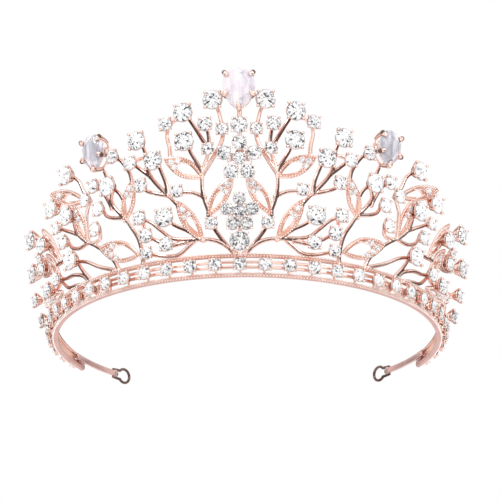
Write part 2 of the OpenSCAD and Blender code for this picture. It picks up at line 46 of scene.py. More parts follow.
FLARE = math.radians(10.5)
SIN_F, COS_F = math.sin(FLARE), math.cos(FLARE)
STEM_D, TWIG_D, LEAF_RIM, LEAF_T = 1.6, 1.2, 1.5, 1.2
BIG, MID, SMALL, TINY, BAND_STONE = 6.4, 4.7, 4.1, 1.9, 4.4
WALL_H, INSET = BAND_H / COS_F, 0.6
ARM_END, ARM_H, ARM_Z, ARM_T = 129.0, 2.2, 3.7, 1.0
ARM_R = BAND_R - 1.4 - ARM_T / 2
WIRE_D, LOOP_HOLE = 1.1, 4.4
TAPER_Y = -BAND_R * math.cos(math.radians(TAPER_FROM))
SLOPE = math.atan((BAND_H - END_H) / (-BAND_R * math.cos(math.radians(BAND_HALF)) - TAPER_Y))

# Details that only the visual model has, in millimetres unless they are shares
STONE_OVER = 0.2  # how much a drawn stone is wider than in the layout
BIG_FROM = 5  # stones wider than this have more facets and thicker claws
CLAWS = (45, 135, 225, 315)  # angles of the claws of a round cup
TURN_FROM = 40  # angle from which stones turn back towards the front
PEAR_OUT = 4.5  # how far a pear setting stands out from the fan
DOME = (0.25, 0.6, 0.88)  # radii of the rings of a tube's end, as shares
LEAF_OVER = 1.6  # how much longer a leaf is than from foot to tip
OPENING, OPENING_AT = 0.66, 0.14  # a leaf's opening: its length and its place, as shares of the leaf's length
GRAIN_GAP, RAIL_PITCH, WEB_PITCH = 0.74, 1.04, 0.86  # between grains: on leaves, along the rails, on the wall
DARK_REFLECTION_AT, DARK_REFLECTION_HALF, DARK_REFLECTION_HALF_LOW = 66, 40, 21  # degrees round a stem of the painted dark reflection: middle, half widths
FACE = -0.25 * COS_F  # points further out than this lie on the front of a rail
MM_PER_DEGREE = 1.32  # along the fan, about half way up
FLOOR_Z, FLOOR_HALF = -0.0002, 3.0  # in metres

# The layout of the right half of the fan. A place is [angle, height]; a stone is
# [angle, height, diameter, how far it stands out]; a leaf is [foot, tip, width, stones].
INNER_STEMS = [
    [[1.5, 0], [3.5, 3], [6, 7.5], [7.5, 11], [8, 14.5], [9, 18.5], [9.5, 22.5], [9.5, 27.5]],
    [[9.5, 27], [10, 30], [12, 35], [13, 38.5]],
    [[9.5, 27], [8.5, 31.5], [7.5, 35.5]],
    [[9.5, 27], [6.5, 33], [4.5, 38], [4, 42], [4.5, 46], [5, 49], [6, 52]],
    [[7.5, 35.5], [8.5, 38], [10.5, 43], [12, 46.5], [13, 48.5]],
    [[7.5, 35.5], [7.5, 40], [8, 44]],
    [[17.5, 34], [17.5, 38], [18, 42], [17.5, 45.5]],
    [[17.5, 45.5], [15.5, 47.5], [13, 48.5]],
    [[9, 19.5], [12, 21.5], [15.5, 22]]
]
INNER_LEAVES = [
    [[8, 13.5], [2, 25.5], 5.5, [[0.84, 0, TINY + 0.3], [0.67, 1, TINY - 0.3], [0.67, -1, TINY - 0.3]]],
    [[9.5, 26.5], [18.5, 34], 6.5, [[0.84, 0.3, TINY + 0.3], [0.7, 1.2, TINY], [0.7, -1.2, TINY]]]
]
INNER_STONES = [
    [6, 52, BIG, 0],
    [4, 42, SMALL, 0],
    [8, 44, MID, 0],
    [13, 48.5, BIG, 0],
    [17.5, 45.5, MID, 0],
    [7.5, 35.5, SMALL, 0],
    [13, 38.5, BIG, 0],
    [15.5, 22, SMALL, 0],
    [7, 10, SMALL, 0.5]
]

LOW_STEMS = [
    [[1, 0], [4.5, 3.5], [7.5, 5], [11, 5.5], [17.5, 6.5], [21, 10], [23.5, 13], [26, 15]],
    [[11.5, 5.5], [14, 3], [16.5, 1], [20, 1], [24.5, 2.5]],
    [[11.5, 5.5], [16.5, 4.5], [19, 4.5], [21.5, 6], [24.5, 8.5]],
    [[26, 15], [26, 12], [24.5, 8.5]],
    [[10.5, 5.5], [13.5, 8.5], [17, 11], [19, 13.5]]
]
LOW_LEAVES = []
LOW_STONES = [
    [26, 15, MID, 0],
    [24.5, 8.5, MID, 0],
    [24.5, 2.5, SMALL, 0.5],
    [19, 4.5, MID, 0],
    [19, 13.5, BIG, 0]
]

FAN_STEMS = [
    [[9.5, 5], [12, 8], [14, 11], [15.5, 16.5], [18.5, 21.5]],
    [[18.5, 21.5], [22, 27], [23.5, 31], [24, 37], [25, 41.5]],
    [[18.5, 21.5], [19, 26], [20, 30], [21, 33.5]],
    [[18.5, 21.5], [22, 23], [24.5, 24.5], [25, 26]],
    [[23, 29], [25.5, 32], [27.5, 34.5]],
    [[27.5, 35.5], [26, 36], [24, 36]]
]
FAN_LEAVES = [
    [[10, 5], [16, 18.5], 5.5, [[0.8, 0, TINY + 0.4], [0.64, 0.9, TINY - 0.3], [0.64, -0.9, TINY - 0.3]]]
]
FAN_STONES = [
    [25, 41.5, BIG, 0],
    [21, 33.5, BIG, 0],
    [27.5, 34.5, MID, 0],
    [25, 26, MID, 0]
]

MIDDLE_STEMS = [
    [[27, -1], [27, 3.5], [28, 9], [30, 13.5], [31.5, 17]],
    [[28.5, 28], [29, 32], [31, 36.5], [32.5, 38.5]],
    [[31.5, 17], [31.5, 22], [32.5, 25.5], [34.5, 28.5]],
    [[31.5, 17], [34, 20.5], [35.5, 24.5], [34.5, 28.5]],
    [[31.5, 17], [35, 18], [37.5, 19.5], [38.5, 22]],
    [[35.5, 21.5], [36.5, 24.5], [38, 28], [39.5, 30.5]],
    [[34.5, 28.5], [36, 32], [37, 35.5]]
]
MIDDLE_LEAVES = [
    [[31.5, 16], [28.5, 28.5], 5.5, [[0.84, 0, TINY + 0.3], [0.67, 1, TINY - 0.3], [0.67, -1, TINY - 0.3]]]
]
MIDDLE_STONES = [
    [32.5, 38.5, MID, 0],
    [34.5, 28.5, BIG, 0],
    [39.5, 30.5, MID, 0],
    [38.5, 22, MID, 0]
]

SIDE_STEMS = [
    [[35, -0.5], [36.5, 3.5], [39.5, 7.5], [42.5, 10.5], [45.5, 13]],
    [[45.5, 13], [48.5, 16], [50.5, 20], [51, 24.5]],
    [[49, 17], [52.5, 19.5], [55.5, 21.5], [57.5, 23]],
    [[45.5, 13], [49.5, 12.5], [53, 14], [54.5, 16.5]],
    [[45.5, 13], [45.5, 18], [45, 23], [43, 27]],
    [[44, 12], [41, 12.5], [40.5, 15.5]],
    [[43, 27], [45, 31], [46.5, 35.5], [49, 38.5]],
    [[53, 34], [56, 32], [58, 30.5]]
]
SIDE_LEAVES = [
    [[40.5, 9], [28, 3], 7.5, [[0.2, -0.5, TINY], [0.32, -1.6, TINY], [0.46, -2.4, TINY], [0.3, 1.4, TINY]]],
    [[45.5, 13], [50, 28.5], 5, [[0.78, 0, TINY + 0.4], [0.62, 0, TINY]]],
    [[44.5, 27.5], [60, 37], 5.5, [[0.72, 0, TINY + 0.8]]]
]
SIDE_STONES = [
    [43, 27, MID, 0],
    [40.5, 15.5, MID, 0],
    [49, 38.5, BIG, 0],
    [51, 24.5, BIG, 0],
    [58, 30.5, BIG, 0],
    [57.5, 23, SMALL, 0],
    [54.5, 16.5, MID, 0]
]

REAR_STEMS = [
    [[47, -0.5], [49.5, 2.5], [54, 4.5], [58, 5], [61.5, 6]],
    [[50, -0.5], [53.5, 0.5], [58, 1.5], [61.5, 5]],
    [[36, 0], [42, 3], [47, 6.5], [51.5, 8.5]],
    [[46, -0.5], [49.5, 4.5], [51.5, 8.5]],
    [[51.5, 8.5], [56, 11], [61, 12], [66, 12.5], [70.5, 14]],
    [[66, 12.5], [74, 13.5], [82, 17], [88, 21]],
    [[64, 18.5], [66, 20.5], [67.5, 21.5]],
    [[67.5, 21.5], [72.5, 25], [77, 28.5]],
    [[61.5, 6], [64, 5], [67, 4]],
    [[67, 4], [76, 6], [86.5, 9.5]],
    [[86.5, 9.5], [89.5, 8], [91, 3.5], [91.5, -1]],
    [[70.5, 14], [72, 17], [74, 19.5]]
]
REAR_LEAVES = [
    [[60, 12], [71.5, 29.5], 5.5, [[0.6, 0, TINY + 0.4], [0.74, 0, TINY]]],
    [[72, 13.5], [85, 25.5], 5, [[0.55, 0, TINY + 0.4], [0.74, 0, TINY]]],
    [[60, 0.5], [81, 4.5], 4.5, [[0.5, 0, TINY + 0.4], [0.66, 0, TINY], [0.8, 0, TINY]]],
    [[62, 7.5], [71, 19.5], 5, [[0.62, 0, TINY + 0.2]]],
    [[74, 1], [90, 11.5], 5.5, [[0.5, 0, TINY + 0.4], [0.66, 0, TINY]]]
]
REAR_STONES = [
    [77, 28.5, BIG, 1],
    [67.5, 21.5, BIG - 0.4, 0.5],
    [51.5, 8.5, BIG, 0],
    [61.5, 6, MID, 0],
    [67, 4, BIG - 1, 1],
    [74, 19.5, SMALL - 0.6, 0.5],
    [70.5, 14, MID, 1],
    [88, 21, BIG, 1.5],
    [86.5, 9.5, MID, 2.5],
    [91, 3.5, MID, 1.5]
]

UPPER_FLOWER = [
    [0, 43, MID + 0.8, 0.5],
    [0, 37, MID, 0.5],
    [3.5, 33.5, MID, 0.5],
    [-3.5, 33.5, MID, 0.5],
    [0, 31.5, SMALL, 1],
    [2, 27, MID, 0.5],
    [-2, 27, MID, 0.5]
]
LOWER_FLOWER = [
    [0, 18, SMALL, 0.5],
    [3.1, 14.5, SMALL, 0.5],
    [-3.1, 14.5, SMALL, 0.5],
    [0, 13.5, SMALL, 1],
    [1.7, 9.5, SMALL, 0.5],
    [-1.7, 9.5, SMALL, 0.5],
    [0, 3.5, BIG, 0.5]
]

FAN = {
    "inner": (INNER_STEMS, INNER_LEAVES, INNER_STONES),
    "low": (LOW_STEMS, LOW_LEAVES, LOW_STONES),
    "fan": (FAN_STEMS, FAN_LEAVES, FAN_STONES),
    "middle": (MIDDLE_STEMS, MIDDLE_LEAVES, MIDDLE_STONES),
    "side": (SIDE_STEMS, SIDE_LEAVES, SIDE_STONES),
    "rear": (REAR_STEMS, REAR_LEAVES, REAR_STONES),
}
CROWN_PEAR, SIDE_PEAR = (0, 55.5, 14.5, 11), (37, 41.5, 12.5, 9.5)

rng = np.random.default_rng(7)


# Camera, at the photograph's viewing angle
def set_camera(azimuth, elevation, distance, centre, aim, lens):
    a, e = math.radians(azimuth), math.radians(elevation)
    back = Vector((math.sin(a) * math.cos(e), -math.cos(a) * math.cos(e), math.sin(e)))
    cam = bpy.data.objects.new("camera", bpy.data.cameras.new("camera"))
    bpy.context.scene.collection.objects.link(cam)
    cam.data.sensor_width = 36
    cam.data.lens = lens
    cam.data.clip_start, cam.data.clip_end = 0.01, 20
    cam.location = Vector(centre) + back * distance
    cam.rotation_mode = "QUATERNION"
    cam.rotation_quaternion = (Vector(aim) - cam.location).to_track_quat("-Z", "Y")
    bpy.context.scene.camera = cam


set_camera(azimuth=1.907, elevation=-20.47, distance=0.6, centre=(0, 0, 0.02), aim=(0.001, 0, 0.038),
           lens=115.76)


# Frames on the leaning wall: X across, Y up the wall, Z outwards
def place(t, s, out=0.0):
    a = math.radians(t)
    sa, ca = math.sin(a), math.cos(a)
    r = BAND_R + s * SIN_F + out * COS_F
    m = np.eye(4)
    m[:3, 0] = (ca, sa, 0)
    m[:3, 1] = (SIN_F * sa, -SIN_F * ca, COS_F)
    m[:3, 2] = (COS_F * sa, -COS_F * ca, -SIN_F)
    m[:3, 3] = (r * sa, -r * ca, s * COS_F - out * SIN_F)
    return m


def fan(t, h, out=0.0):
    return place(t, WALL_H + h, out - INSET)


def at_stone(t, h):
    """Place of a stone; the stones at the sides turn back towards the front."""
    b = -math.radians(max(0, t - TURN_FROM) / 2)
    m = np.eye(4)
    m[0, 0] = m[2, 2] = math.cos(b)
    m[0, 2], m[2, 0] = math.sin(b), -math.sin(b)
    return fan(t, h) @ m


def upright(t, z, r):
    a = math.radians(t)
    m = np.eye(4)
    m[:3, 0] = (math.cos(a), math.sin(a), 0)
    m[:3, 1] = (0, 0, 1)
    m[:3, 2] = (math.sin(a), -math.cos(a), 0)
    m[:3, 3] = (r * math.sin(a), -r * math.cos(a), z)
    return m


def turn_z(degrees):
    a = math.radians(degrees)
    m = np.eye(4)
    m[:2, :2] = ((math.cos(a), -math.sin(a)), (math.sin(a), math.cos(a)))
    return m


def random_turn():
    return turn_z(float(rng.integers(0, 45)))


def shift(x, y, z):
    m = np.eye(4)
    m[:3, 3] = (x, y, z)
    return m


def band_top(t):
    if abs(t) < TAPER_FROM:
        return BAND_H
    return BAND_H + math.tan(SLOPE) * (TAPER_Y + BAND_R * math.cos(math.radians(t)))


def top_s(t):
    """Distance up the wall to the band's top."""
    return band_top(t) / COS_F


def across(dt, h):
    return (BAND_R + (WALL_H + h) * SIN_F) * math.radians(dt)


def smooth_path(points, steps):
    """Catmull-Rom curve through the points."""
    p = np.array(points, float)
    p = np.vstack([p[0], p, p[-1]])
    out = []
    for i in range(1, len(p) - 2):
        a, b, c, d = p[i - 1 : i + 3]
        for j in range(steps):
            u = j / steps
            bend = (2 * a - 5 * b + 4 * c - d) * u**2 + (3 * b - a - 3 * c + d) * u**3
            out.append(0.5 * (2 * b + (c - a) * u + bend))
    out.append(p[-2])
    return np.array(out)


# Meshes
def first_corners(sizes):
    return np.concatenate([[0], np.cumsum(sizes)[:-1]])


class Shape:
    """Points and faces; each face has a material slot and a smooth flag."""

    def __init__(self):
        self.points, self.corners, self.sizes, self.slots, self.smooth = [], [], [], [], []
        self.count = 0

    def join(self, points, corners, sizes, slots, smooth):
        self.points.append(points)
        self.corners.append(corners + self.count)
        self.sizes.append(sizes)
        self.slots.append(slots)
        self.smooth.append(smooth)
        self.count += len(points)
        return self

    def raw(self, points, faces, slots=0, smooth=True):
        """Add faces given as lists of point numbers."""
        n = len(faces)
        sizes = np.array([len(f) for f in faces], int)
        corners = np.concatenate([np.asarray(f, int) for f in faces])
        return self.join(np.asarray(points, float), corners, sizes, np.full(n, slots), np.full(n, smooth))

    def packed(self):
        return (np.vstack(self.points), np.concatenate(self.corners), np.concatenate(self.sizes),
                np.concatenate(self.slots), np.concatenate(self.smooth))

    def add(self, other, matrix=None, slot=None):
        points, corners, sizes, slots, smooth = other.packed()
        if matrix is not None:
            points = points @ matrix[:3, :3].T + matrix[:3, 3]
        if slot is not None:
            slots = np.full(len(slots), slot)
        return self.join(points, corners, sizes, slots, smooth)

    def first_points(self):
        """The first corner of each face."""
        points, corners, sizes, _, _ = self.packed()
        return points[corners[first_corners(sizes)]]

    def paint(self, test, slot):
        """Give a slot to the faces whose first corner passes the test."""
        marked = [test(c) for c in self.first_points()]
        self.slots = [np.where(marked, slot, np.concatenate(self.slots))]
        return self

    def mirrored(self):
        points, corners, sizes, slots, smooth = self.packed()
        starts = first_corners(sizes)
        face = np.repeat(np.arange(len(sizes)), sizes)
        flipped = corners[2 * starts[face] + sizes[face] - 1 - np.arange(len(corners))]
        return Shape().join(points * (-1, 1, 1), flipped, sizes, slots, smooth)

    def mesh(self, name):
        points, corners, sizes, slots, smooth = self.packed()
        mesh = bpy.data.meshes.new(name)
        mesh.vertices.add(len(points))
        mesh.vertices.foreach_set("co", (points * MM).astype(np.float32).ravel())
        mesh.loops.add(len(corners))
        mesh.loops.foreach_set("vertex_index", corners.astype(np.int32))
        mesh.polygons.add(len(sizes))
        mesh.polygons.foreach_set("loop_start", first_corners(sizes).astype(np.int32))
        mesh.polygons.foreach_set("material_index", slots.astype(np.int32))
        mesh.polygons.foreach_set("use_smooth", smooth.astype(bool))
        mesh.update(calc_edges=True)
        mesh.validate()
        return mesh


def grid(rings):
    """Closed skin over rings of equally many points."""
    n, k = len(rings), len(rings[0])
    faces = []
    for i in range(n - 1):
        for j in range(k):
            a, b = i * k + j, i * k + (j + 1) % k
            faces.append((a, b, b + k, a + k))
    faces.append(tuple(range(k - 1, -1, -1)))
    faces.append(tuple((n - 1) * k + j for j in range(k)))
    return Shape().raw(np.vstack(rings), faces)


def lathe(profile, sides):
    """Solid of revolution about Z. The profile starts and ends on the axis."""
    turns = [2 * math.pi * i / sides for i in range(sides)]
    points, faces, rows = [], [], []
    for r, z in profile:
        if r < 1e-6:
            rows.append([len(points)])
            points.append((0, 0, z))
        else:
            rows.append(list(range(len(points), len(points) + sides)))
            points += [(r * math.cos(a), r * math.sin(a), z) for a in turns]
    for low, high in zip(rows, rows[1:]):
        for i in range(sides):
            j = (i + 1) % sides
            face = [low[i % len(low)], low[j % len(low)], high[j % len(high)], high[i % len(high)]]
            face = [v for k, v in enumerate(face) if v not in face[:k]]
            if len(face) > 2:
                faces.append(face)
    return Shape().raw(points, faces)


def disc(r, thick, bevel, sides):
    return lathe([
        (0, 0), (r - bevel, 0), (r, bevel), (r, thick - bevel), (r - bevel, thick), (0, thick)
    ], sides)


def bead(r, rings=4, sides=8):
    turns = [math.pi * i / rings for i in range(rings + 1)]
    return lathe([(r * math.sin(a), -r * math.cos(a)) for a in turns], sides)


def tube(path, radii, sides=12, up=(0.31, 0.2, 0.93), flat=1.0):
    """Round tube along a path, with domed ends. flat squeezes it along up."""
    path = np.asarray(path, float)
    n = len(path)
    radii = np.broadcast_to(np.asarray(radii, float), (n,))
    along = np.zeros_like(path)
    along[1:-1] = path[2:] - path[:-2]
    along[0], along[-1] = path[1] - path[0], path[-1] - path[-2]
    along /= np.linalg.norm(along, axis=1)[:, None]
    side = np.cross(along, np.broadcast_to(np.asarray(up, float), (n, 3)))
    side /= np.linalg.norm(side, axis=1)[:, None]
    lift = np.cross(side, along)
    angles = np.arange(sides) * 2 * math.pi / sides
    rings = []

    def ring(c, i, r):
        rings.append(c + r * (np.cos(angles)[:, None] * side[i] + flat * np.sin(angles)[:, None] * lift[i]))

    for q in DOME:
        ring(path[0] - along[0] * radii[0] * math.sqrt(1 - q * q), 0, radii[0] * q)
    for i in range(n):
        ring(path[i], i, radii[i])
    for q in reversed(DOME):
        ring(path[-1] + along[-1] * radii[-1] * math.sqrt(1 - q * q), n - 1, radii[-1] * q)
    return grid(rings)


def backbone(top, length, r):
    """Wire down the middle of the fan, from height top."""
    return tube([fan(0, top - length * k / 6)[:3, 3] for k in range(7)], r, 14, up=fan(0, 0)[:3, 2])


def rounded(corners, r, steps=3):
    """Polygon with rounded corners, given anticlockwise."""
    p = np.asarray(corners, float)
    out = []
    for i in range(len(p)):
        a, b, c = p[i - 1], p[i], p[(i + 1) % len(p)]
        k = min(r, 0.45 * np.linalg.norm(a - b), 0.45 * np.linalg.norm(c - b))
        u = b + (a - b) / np.linalg.norm(a - b) * k
        v = b + (c - b) / np.linalg.norm(c - b) * k
        for j in range(steps + 1):
            f = j / steps
            out.append((1 - f) ** 2 * u + 2 * f * (1 - f) * b + f * f * v)
    return np.array(out)


def box(x0, x1, y0, y1):
    return [(x0, y0), (x1, y0), (x1, y1), (x0, y1)]


def swept(profile_at, angles):
    return grid([profile_at(t) for t in angles])


def turned(section, t):
    """Points (radius, height) turned to angle t."""
    a = math.radians(t)
    return [(r * math.sin(a), -r * math.cos(a), z) for r, z in section]


def wall_profile(t, points):
    """Points (depth inside the face, distance up the wall) at angle t."""
    m = place(t, 0, 0)
    return np.array([m[:3, 3] + s * m[:3, 1] - d * m[:3, 2] for d, s in points])


def outside(c):
    """Distance of a point outside the face of the leaning wall."""
    return (math.hypot(c[0], c[1]) - BAND_R) * COS_F - c[2] * SIN_F


# Stones. The girdle of each starts at z = 0
def facets(outline, depth, girdle, crown, table, star, lower, culet):
    """Brilliant cut on a 16-point outline. Slots: 0 and 2 on the crown, 1 on the foiled pavilion; slot 2, on
    some crown facets, is a painted reflection in another tone.
    """
    g = np.asarray(outline, float)
    centre = np.asarray(culet, float)
    half_step = math.cos(math.pi / 8)
    slope = crown / (1 - table)
    points, faces, slots = [], [], []

    def put(xy, z):
        points.append((xy[0], xy[1], z))
        return len(points) - 1

    low = [put(p, 0) for p in g]
    high = [put(p, girdle) for p in g]
    top = [put(p * table, girdle + crown) for p in g[::2]]
    mid = [put(p * star, girdle + crown - (star * half_step - table) * slope) for p in g[1::2]]
    tip = put(centre, -depth)
    deep = [put(centre + (p - centre) * lower, -depth * (1 - lower * half_step)) for p in g[1::2]]

    def face(*v, slot=0):
        faces.append(v)
        slots.append(slot)

    face(*top)
    for i in range(8):
        j, h = (i + 1) % 8, (i - 1) % 8
        face(top[i], mid[i], top[j])
        face(top[i], mid[h], high[2 * i])
        face(top[i], high[2 * i], mid[i])
        face(mid[i], high[2 * i], high[2 * i + 1])
        face(mid[i], high[2 * i + 1], high[(2 * i + 2) % 16])
        face(tip, deep[i], low[2 * i], slot=1)
        face(tip, low[2 * i], deep[h], slot=1)
        face(deep[i], low[2 * i + 1], low[2 * i], slot=1)
        face(deep[i], low[(2 * i + 2) % 16], low[2 * i + 1], slot=1)
    for i in range(16):
        j = (i + 1) % 16
        face(low[i], low[j], high[j], high[i])
    # Some crown facets get slot 2, a painted reflection in another tone.
    for i in range(1, 33, 3):
        slots[i] = slots[i] or 2
    return Shape().raw(points, faces, slots, False)


def jewel(d, depth, girdle, slope, flash=0.1, edge=2):
    """Foiled round stone with a faceted top, whose top facets get painted reflections in tones from white to
    nearly black, where flash is the share of its dark facets; edge is the slot of its girdle, a painted
    outline.
    """
    r = d / 2
    n = 15 if d > BIG_FROM else 11
    jitter = rng.normal(0, 0.011 * r, (4, n))
    angles = np.arange(2 * n) * math.pi / n
    points, faces, slots = [], [], []

    def ring(radius, z, first, step, wobble=None):
        start = len(points)
        for i, a in enumerate(angles[first::step]):
            points.append((
                radius * math.cos(a), radius * math.sin(a), z + (0 if wobble is None else wobble[i])
            ))
        return list(range(start, len(points)))

    low = ring(r, 0, 0, 1)
    high = ring(0.94 * r, girdle, 0, 1)
    mid = ring(0.8 * r, girdle + 0.2 * r * slope, 1, 2, jitter[0])
    z = girdle + 0.42 * r * slope
    table = ring(0.58 * r, z, 0, 2, jitter[1])
    z += 0.28 * r * 0.28
    inner = ring(0.3 * r, z, 1, 2, jitter[2])
    points.append((0, 0, z + 0.3 * r * 0.14 + jitter[3, 0]))
    top = len(points) - 1
    points.append((0, 0, -depth))
    tip = len(points) - 1

    def face(*v, slot=0):
        faces.append(v)
        slots.append(slot)

    for i in range(n):
        j, h = (i + 1) % n, (i - 1) % n
        face(inner[h], inner[i], top)
        face(table[i], inner[i], inner[h])
        face(table[i], table[j], inner[i])
        face(table[i], mid[i], table[j])
        face(high[2 * i], mid[i], table[i])
        face(high[2 * i], table[i], mid[h])
        face(high[2 * i], high[2 * i + 1], mid[i])
        face(high[2 * i + 1], high[(2 * i + 2) % (2 * n)], mid[i])
    tops = len(faces)
    for i in range(2 * n):
        j = (i + 1) % (2 * n)
        # The girdle gets slot edge, a painted outline.
        face(low[i], low[j], high[j], high[i], slot=edge)
        face(tip, low[j], low[i], slot=1)
    # The top facets are dealt out at random among painted reflections: nearly black, grey, pale grey and
    # white.
    slots = np.array(slots)
    limits = np.array([flash, 2.1 * flash, 2.1 * flash + 0.12 + flash])
    tones = np.array([CRYSTALS.index(m) for m in (PAINTED_DARK_CRYSTAL, PAINTED_GREY_CRYSTAL, PAINTED_PALE_CRYSTAL, CLEAR)])
    slots[:tops] = tones[np.searchsorted(limits, rng.random(tops), side="right")]
    return Shape().raw(points, faces, slots, False)


def flash_at(t):
    """Share of facets painted with dark reflections: the stones at the front and far round the sides get more
    of them.
    """
    return float(np.interp(abs(t), [0, 20, 35, 60, 75, 100], [0.17, 0.13, 0.06, 0.05, 0.12, 0.25]))


def round_stone(d, t, more=0):
    """Stone at angle t: its rim is a painted outline, grey, and dark far round the side. more adds to its
    facets painted with dark reflections.
    """
    # The girdle's painted outline: dark far round the side, grey elsewhere.
    edge = CRYSTALS.index(PAINTED_DARK_CRYSTAL if abs(t) > 58 else PAINTED_GREY_CRYSTAL)
    d += STONE_OVER
    return Shape().add(jewel(d, 0.38 * d, 0.2, 0.62, flash_at(t) + more, edge), shift(0, 0, 0.4 * d))


def gems(stones, more=0):
    out = Shape()
    for t, h, d, lift in stones:
        spin = random_turn()
        out.add(round_stone(d, t, more), at_stone(t, h) @ shift(0, 0, 0.96 + lift) @ spin)
    return out


def pear_point(l, w, a):
    a = math.radians(a)
    return np.array((w / 1.82 * math.sin(a) * abs(math.sin(a / 2)) ** 0.3, -l / 2 * math.cos(a)))


def pear_stone(l, w):
    angles = [0, 26, 48, 68, 88, 108, 130, 154, 180, 206, 230, 252, 272, 292, 312, 334]
    outline = [pear_point(l, w, a) for a in angles]
    return facets(outline, 0.35 * w, 0.6, 0.14 * w + 0.1, 0.62, 0.82, 0.35, (0, 0.08 * l))


# Metal settings
def round_cup(d):
    seat, collar = 0.4, 0.4
    top = seat + 0.4 * d
    r = d / 2
    claw = (1.0 if d > BIG_FROM else 0.8) / 2
    out = Shape().add(lathe([
        (0, 0), (0.52 * r, 0), (0.62 * r, 0.12), (0.70 * r, 0.3 * top), (0.88 * r, 0.66 * top),
        (r + 0.1, top - collar - 0.05), (r + 0.2, top - collar + 0.12), (r + 0.22, top - 0.14),
        (r + 0.17, top - 0.02), (r + 0.04, top), (r - 0.06, top - 0.1),
        (0.5 * r, seat + 0.2 * d - 0.05), (0, seat - 0.1)
    ], 28))
    reach = r + claw
    path = smooth_path([
        (0.6 * r, 0.25), (0.78 * r, 0.35 * top), (0.97 * r + 0.15, 0.72 * top),
        (reach, top - 0.05), (reach + 0.05, top + 0.25), (reach - 0.1, top + 0.5)
    ], 3)
    path = np.column_stack([path[:, 0], np.zeros(len(path)), path[:, 1]])
    n = len(path)
    radii = np.interp(np.arange(n), [0, n * 0.6, n - 3, n - 1], [claw * 0.6, claw * 0.75, claw * 0.9, claw])
    prong = tube(path, radii, 10, up=(0, 1, 0))
    tip = Shape().add(bead(claw + 0.04, 6, 10), shift(reach - 0.12, 0, top + 0.5))
    for a in CLAWS:
        out.add(prong, turn_z(a))
        out.add(tip, turn_z(a), slot=1)
    return out


def settings(stones):
    """Cups of the stones, on posts where they stand out."""
    out = Shape()
    for t, h, d, lift in stones:
        out.add(round_cup(d), at_stone(t, h) @ shift(0, 0, 0.6 + lift))
        if lift > 0:
            high = 0.7 + lift
            post = [(0, 0), (0.25 * d, 0), (0.22 * d, 0.3 * high), (0.25 * d, high), (0, high)]
            out.add(lathe(post, 16), at_stone(t, h))
    return out


def flower(stones, back_h, back_r, post_h, post_l):
    out = settings(stones)
    out.add(disc(back_r, 1.2, 0.2, 32), fan(0, back_h, -0.2), slot=1)
    return out.add(backbone(post_h, post_l, 0.8))


def pear_setting(l, w, dark):
    """Basket of two rails and five claws; the claws at the angles in dark have beads on their tips in the
    near-black gold, a painted dark reflection.
    """
    low = -0.36 * w - 0.6
    out = Shape()
    for z, k in ((-0.5, 0.98), (low + 0.4, 0.9)):
        path = [(*pear_point(k * l - 1.0, k * w - 0.9, a), z) for a in np.linspace(0, 360, 61)]
        out.add(tube(path, 0.38, 10, up=(0, 0, 1), flat=0.85))
    for a in (0, 70, 130, 230, 290):
        p = pear_point(l + 0.2, w + 0.2, a)
        n = p / np.linalg.norm(p)
        path = smooth_path([
            (*pear_point(0.9 * l - 1, 0.9 * w - 1, a), low), (*(p - n * 0.5), low * 0.6),
            (*(p - n * 0.1), -0.8),
            (*(p + n * 0.15), 0.4), (*(p - n * 0.15), 1.3), (*(p - n * 0.9), 1.9)
        ], 5)
        radii = np.interp(np.linspace(0, 1, len(path)), [0, 0.5, 0.8, 1], [0.5, 0.65, 0.95, 0.6])
        out.add(tube(path, radii, 12, up=(-n[1], n[0], 0)))
        # A claw tip painted with a dark reflection.
        if a in dark:
            out.add(bead(0.88, 8, 12), shift(*(p + n * 0.32), 1.2), slot=1)
    middle = 0.06 * l + 0.5
    bar = [(x, middle, low + 0.4) for x in np.linspace(-0.4 * w, 0.4 * w, 5)]
    out.add(tube(bar, 0.45, 10))
    post = lathe([(0, 0), (1.1, 0), (0.95, 0.8), (1.1, 1.6), (0, 1.6)], 16)
    return out.add(post, shift(0, middle, low - 1.2))


def pear(site, dark):
    """Setting and stone of a pear cut at a site (angle, height, length, width)."""
    t, h, l, w = site
    at = fan(t, h, PEAR_OUT)
    return Shape().add(pear_setting(l, w, dark), at), Shape().add(pear_stone(l, w), at)


# Leaves, drawn flat with Y from foot to tip
def leaf_frame(leaf):
    foot, tip = leaf[0], leaf[1]
    h = (foot[1] + tip[1]) / 2
    turn = -math.degrees(math.atan2(across(tip[0] - foot[0], h), tip[1] - foot[1]))
    return fan((foot[0] + tip[0]) / 2, h, 0.2) @ turn_z(turn)


def leaf_size(leaf):
    """Length, width, and the side (1 tip, -1 foot) of the opening."""
    foot, tip, width, stones = leaf
    h = (foot[1] + tip[1]) / 2
    length = math.hypot(across(tip[0] - foot[0], h), tip[1] - foot[1])
    return length, width, -1 if stones[0][0] > 0.45 else 1


def oval(l, w, u):
    return np.array((w / 2 * math.sin(math.pi * u), (u - 0.5) * l))


def half_oval(l, w, y):
    u = y / l + 0.5
    return w / 2 * math.sin(math.pi * u) if 0 < u < 1 else -1.0


def leaf_outline(leaf):
    """Half widths of the leaf and of its opening at distance y from the middle."""
    l, w, side = leaf_size(leaf)
    return (
        lambda y: half_oval(l + LEAF_OVER, w, y),
        lambda y: half_oval(OPENING * l, w - 2 * LEAF_RIM, y - side * OPENING_AT * l),
    )


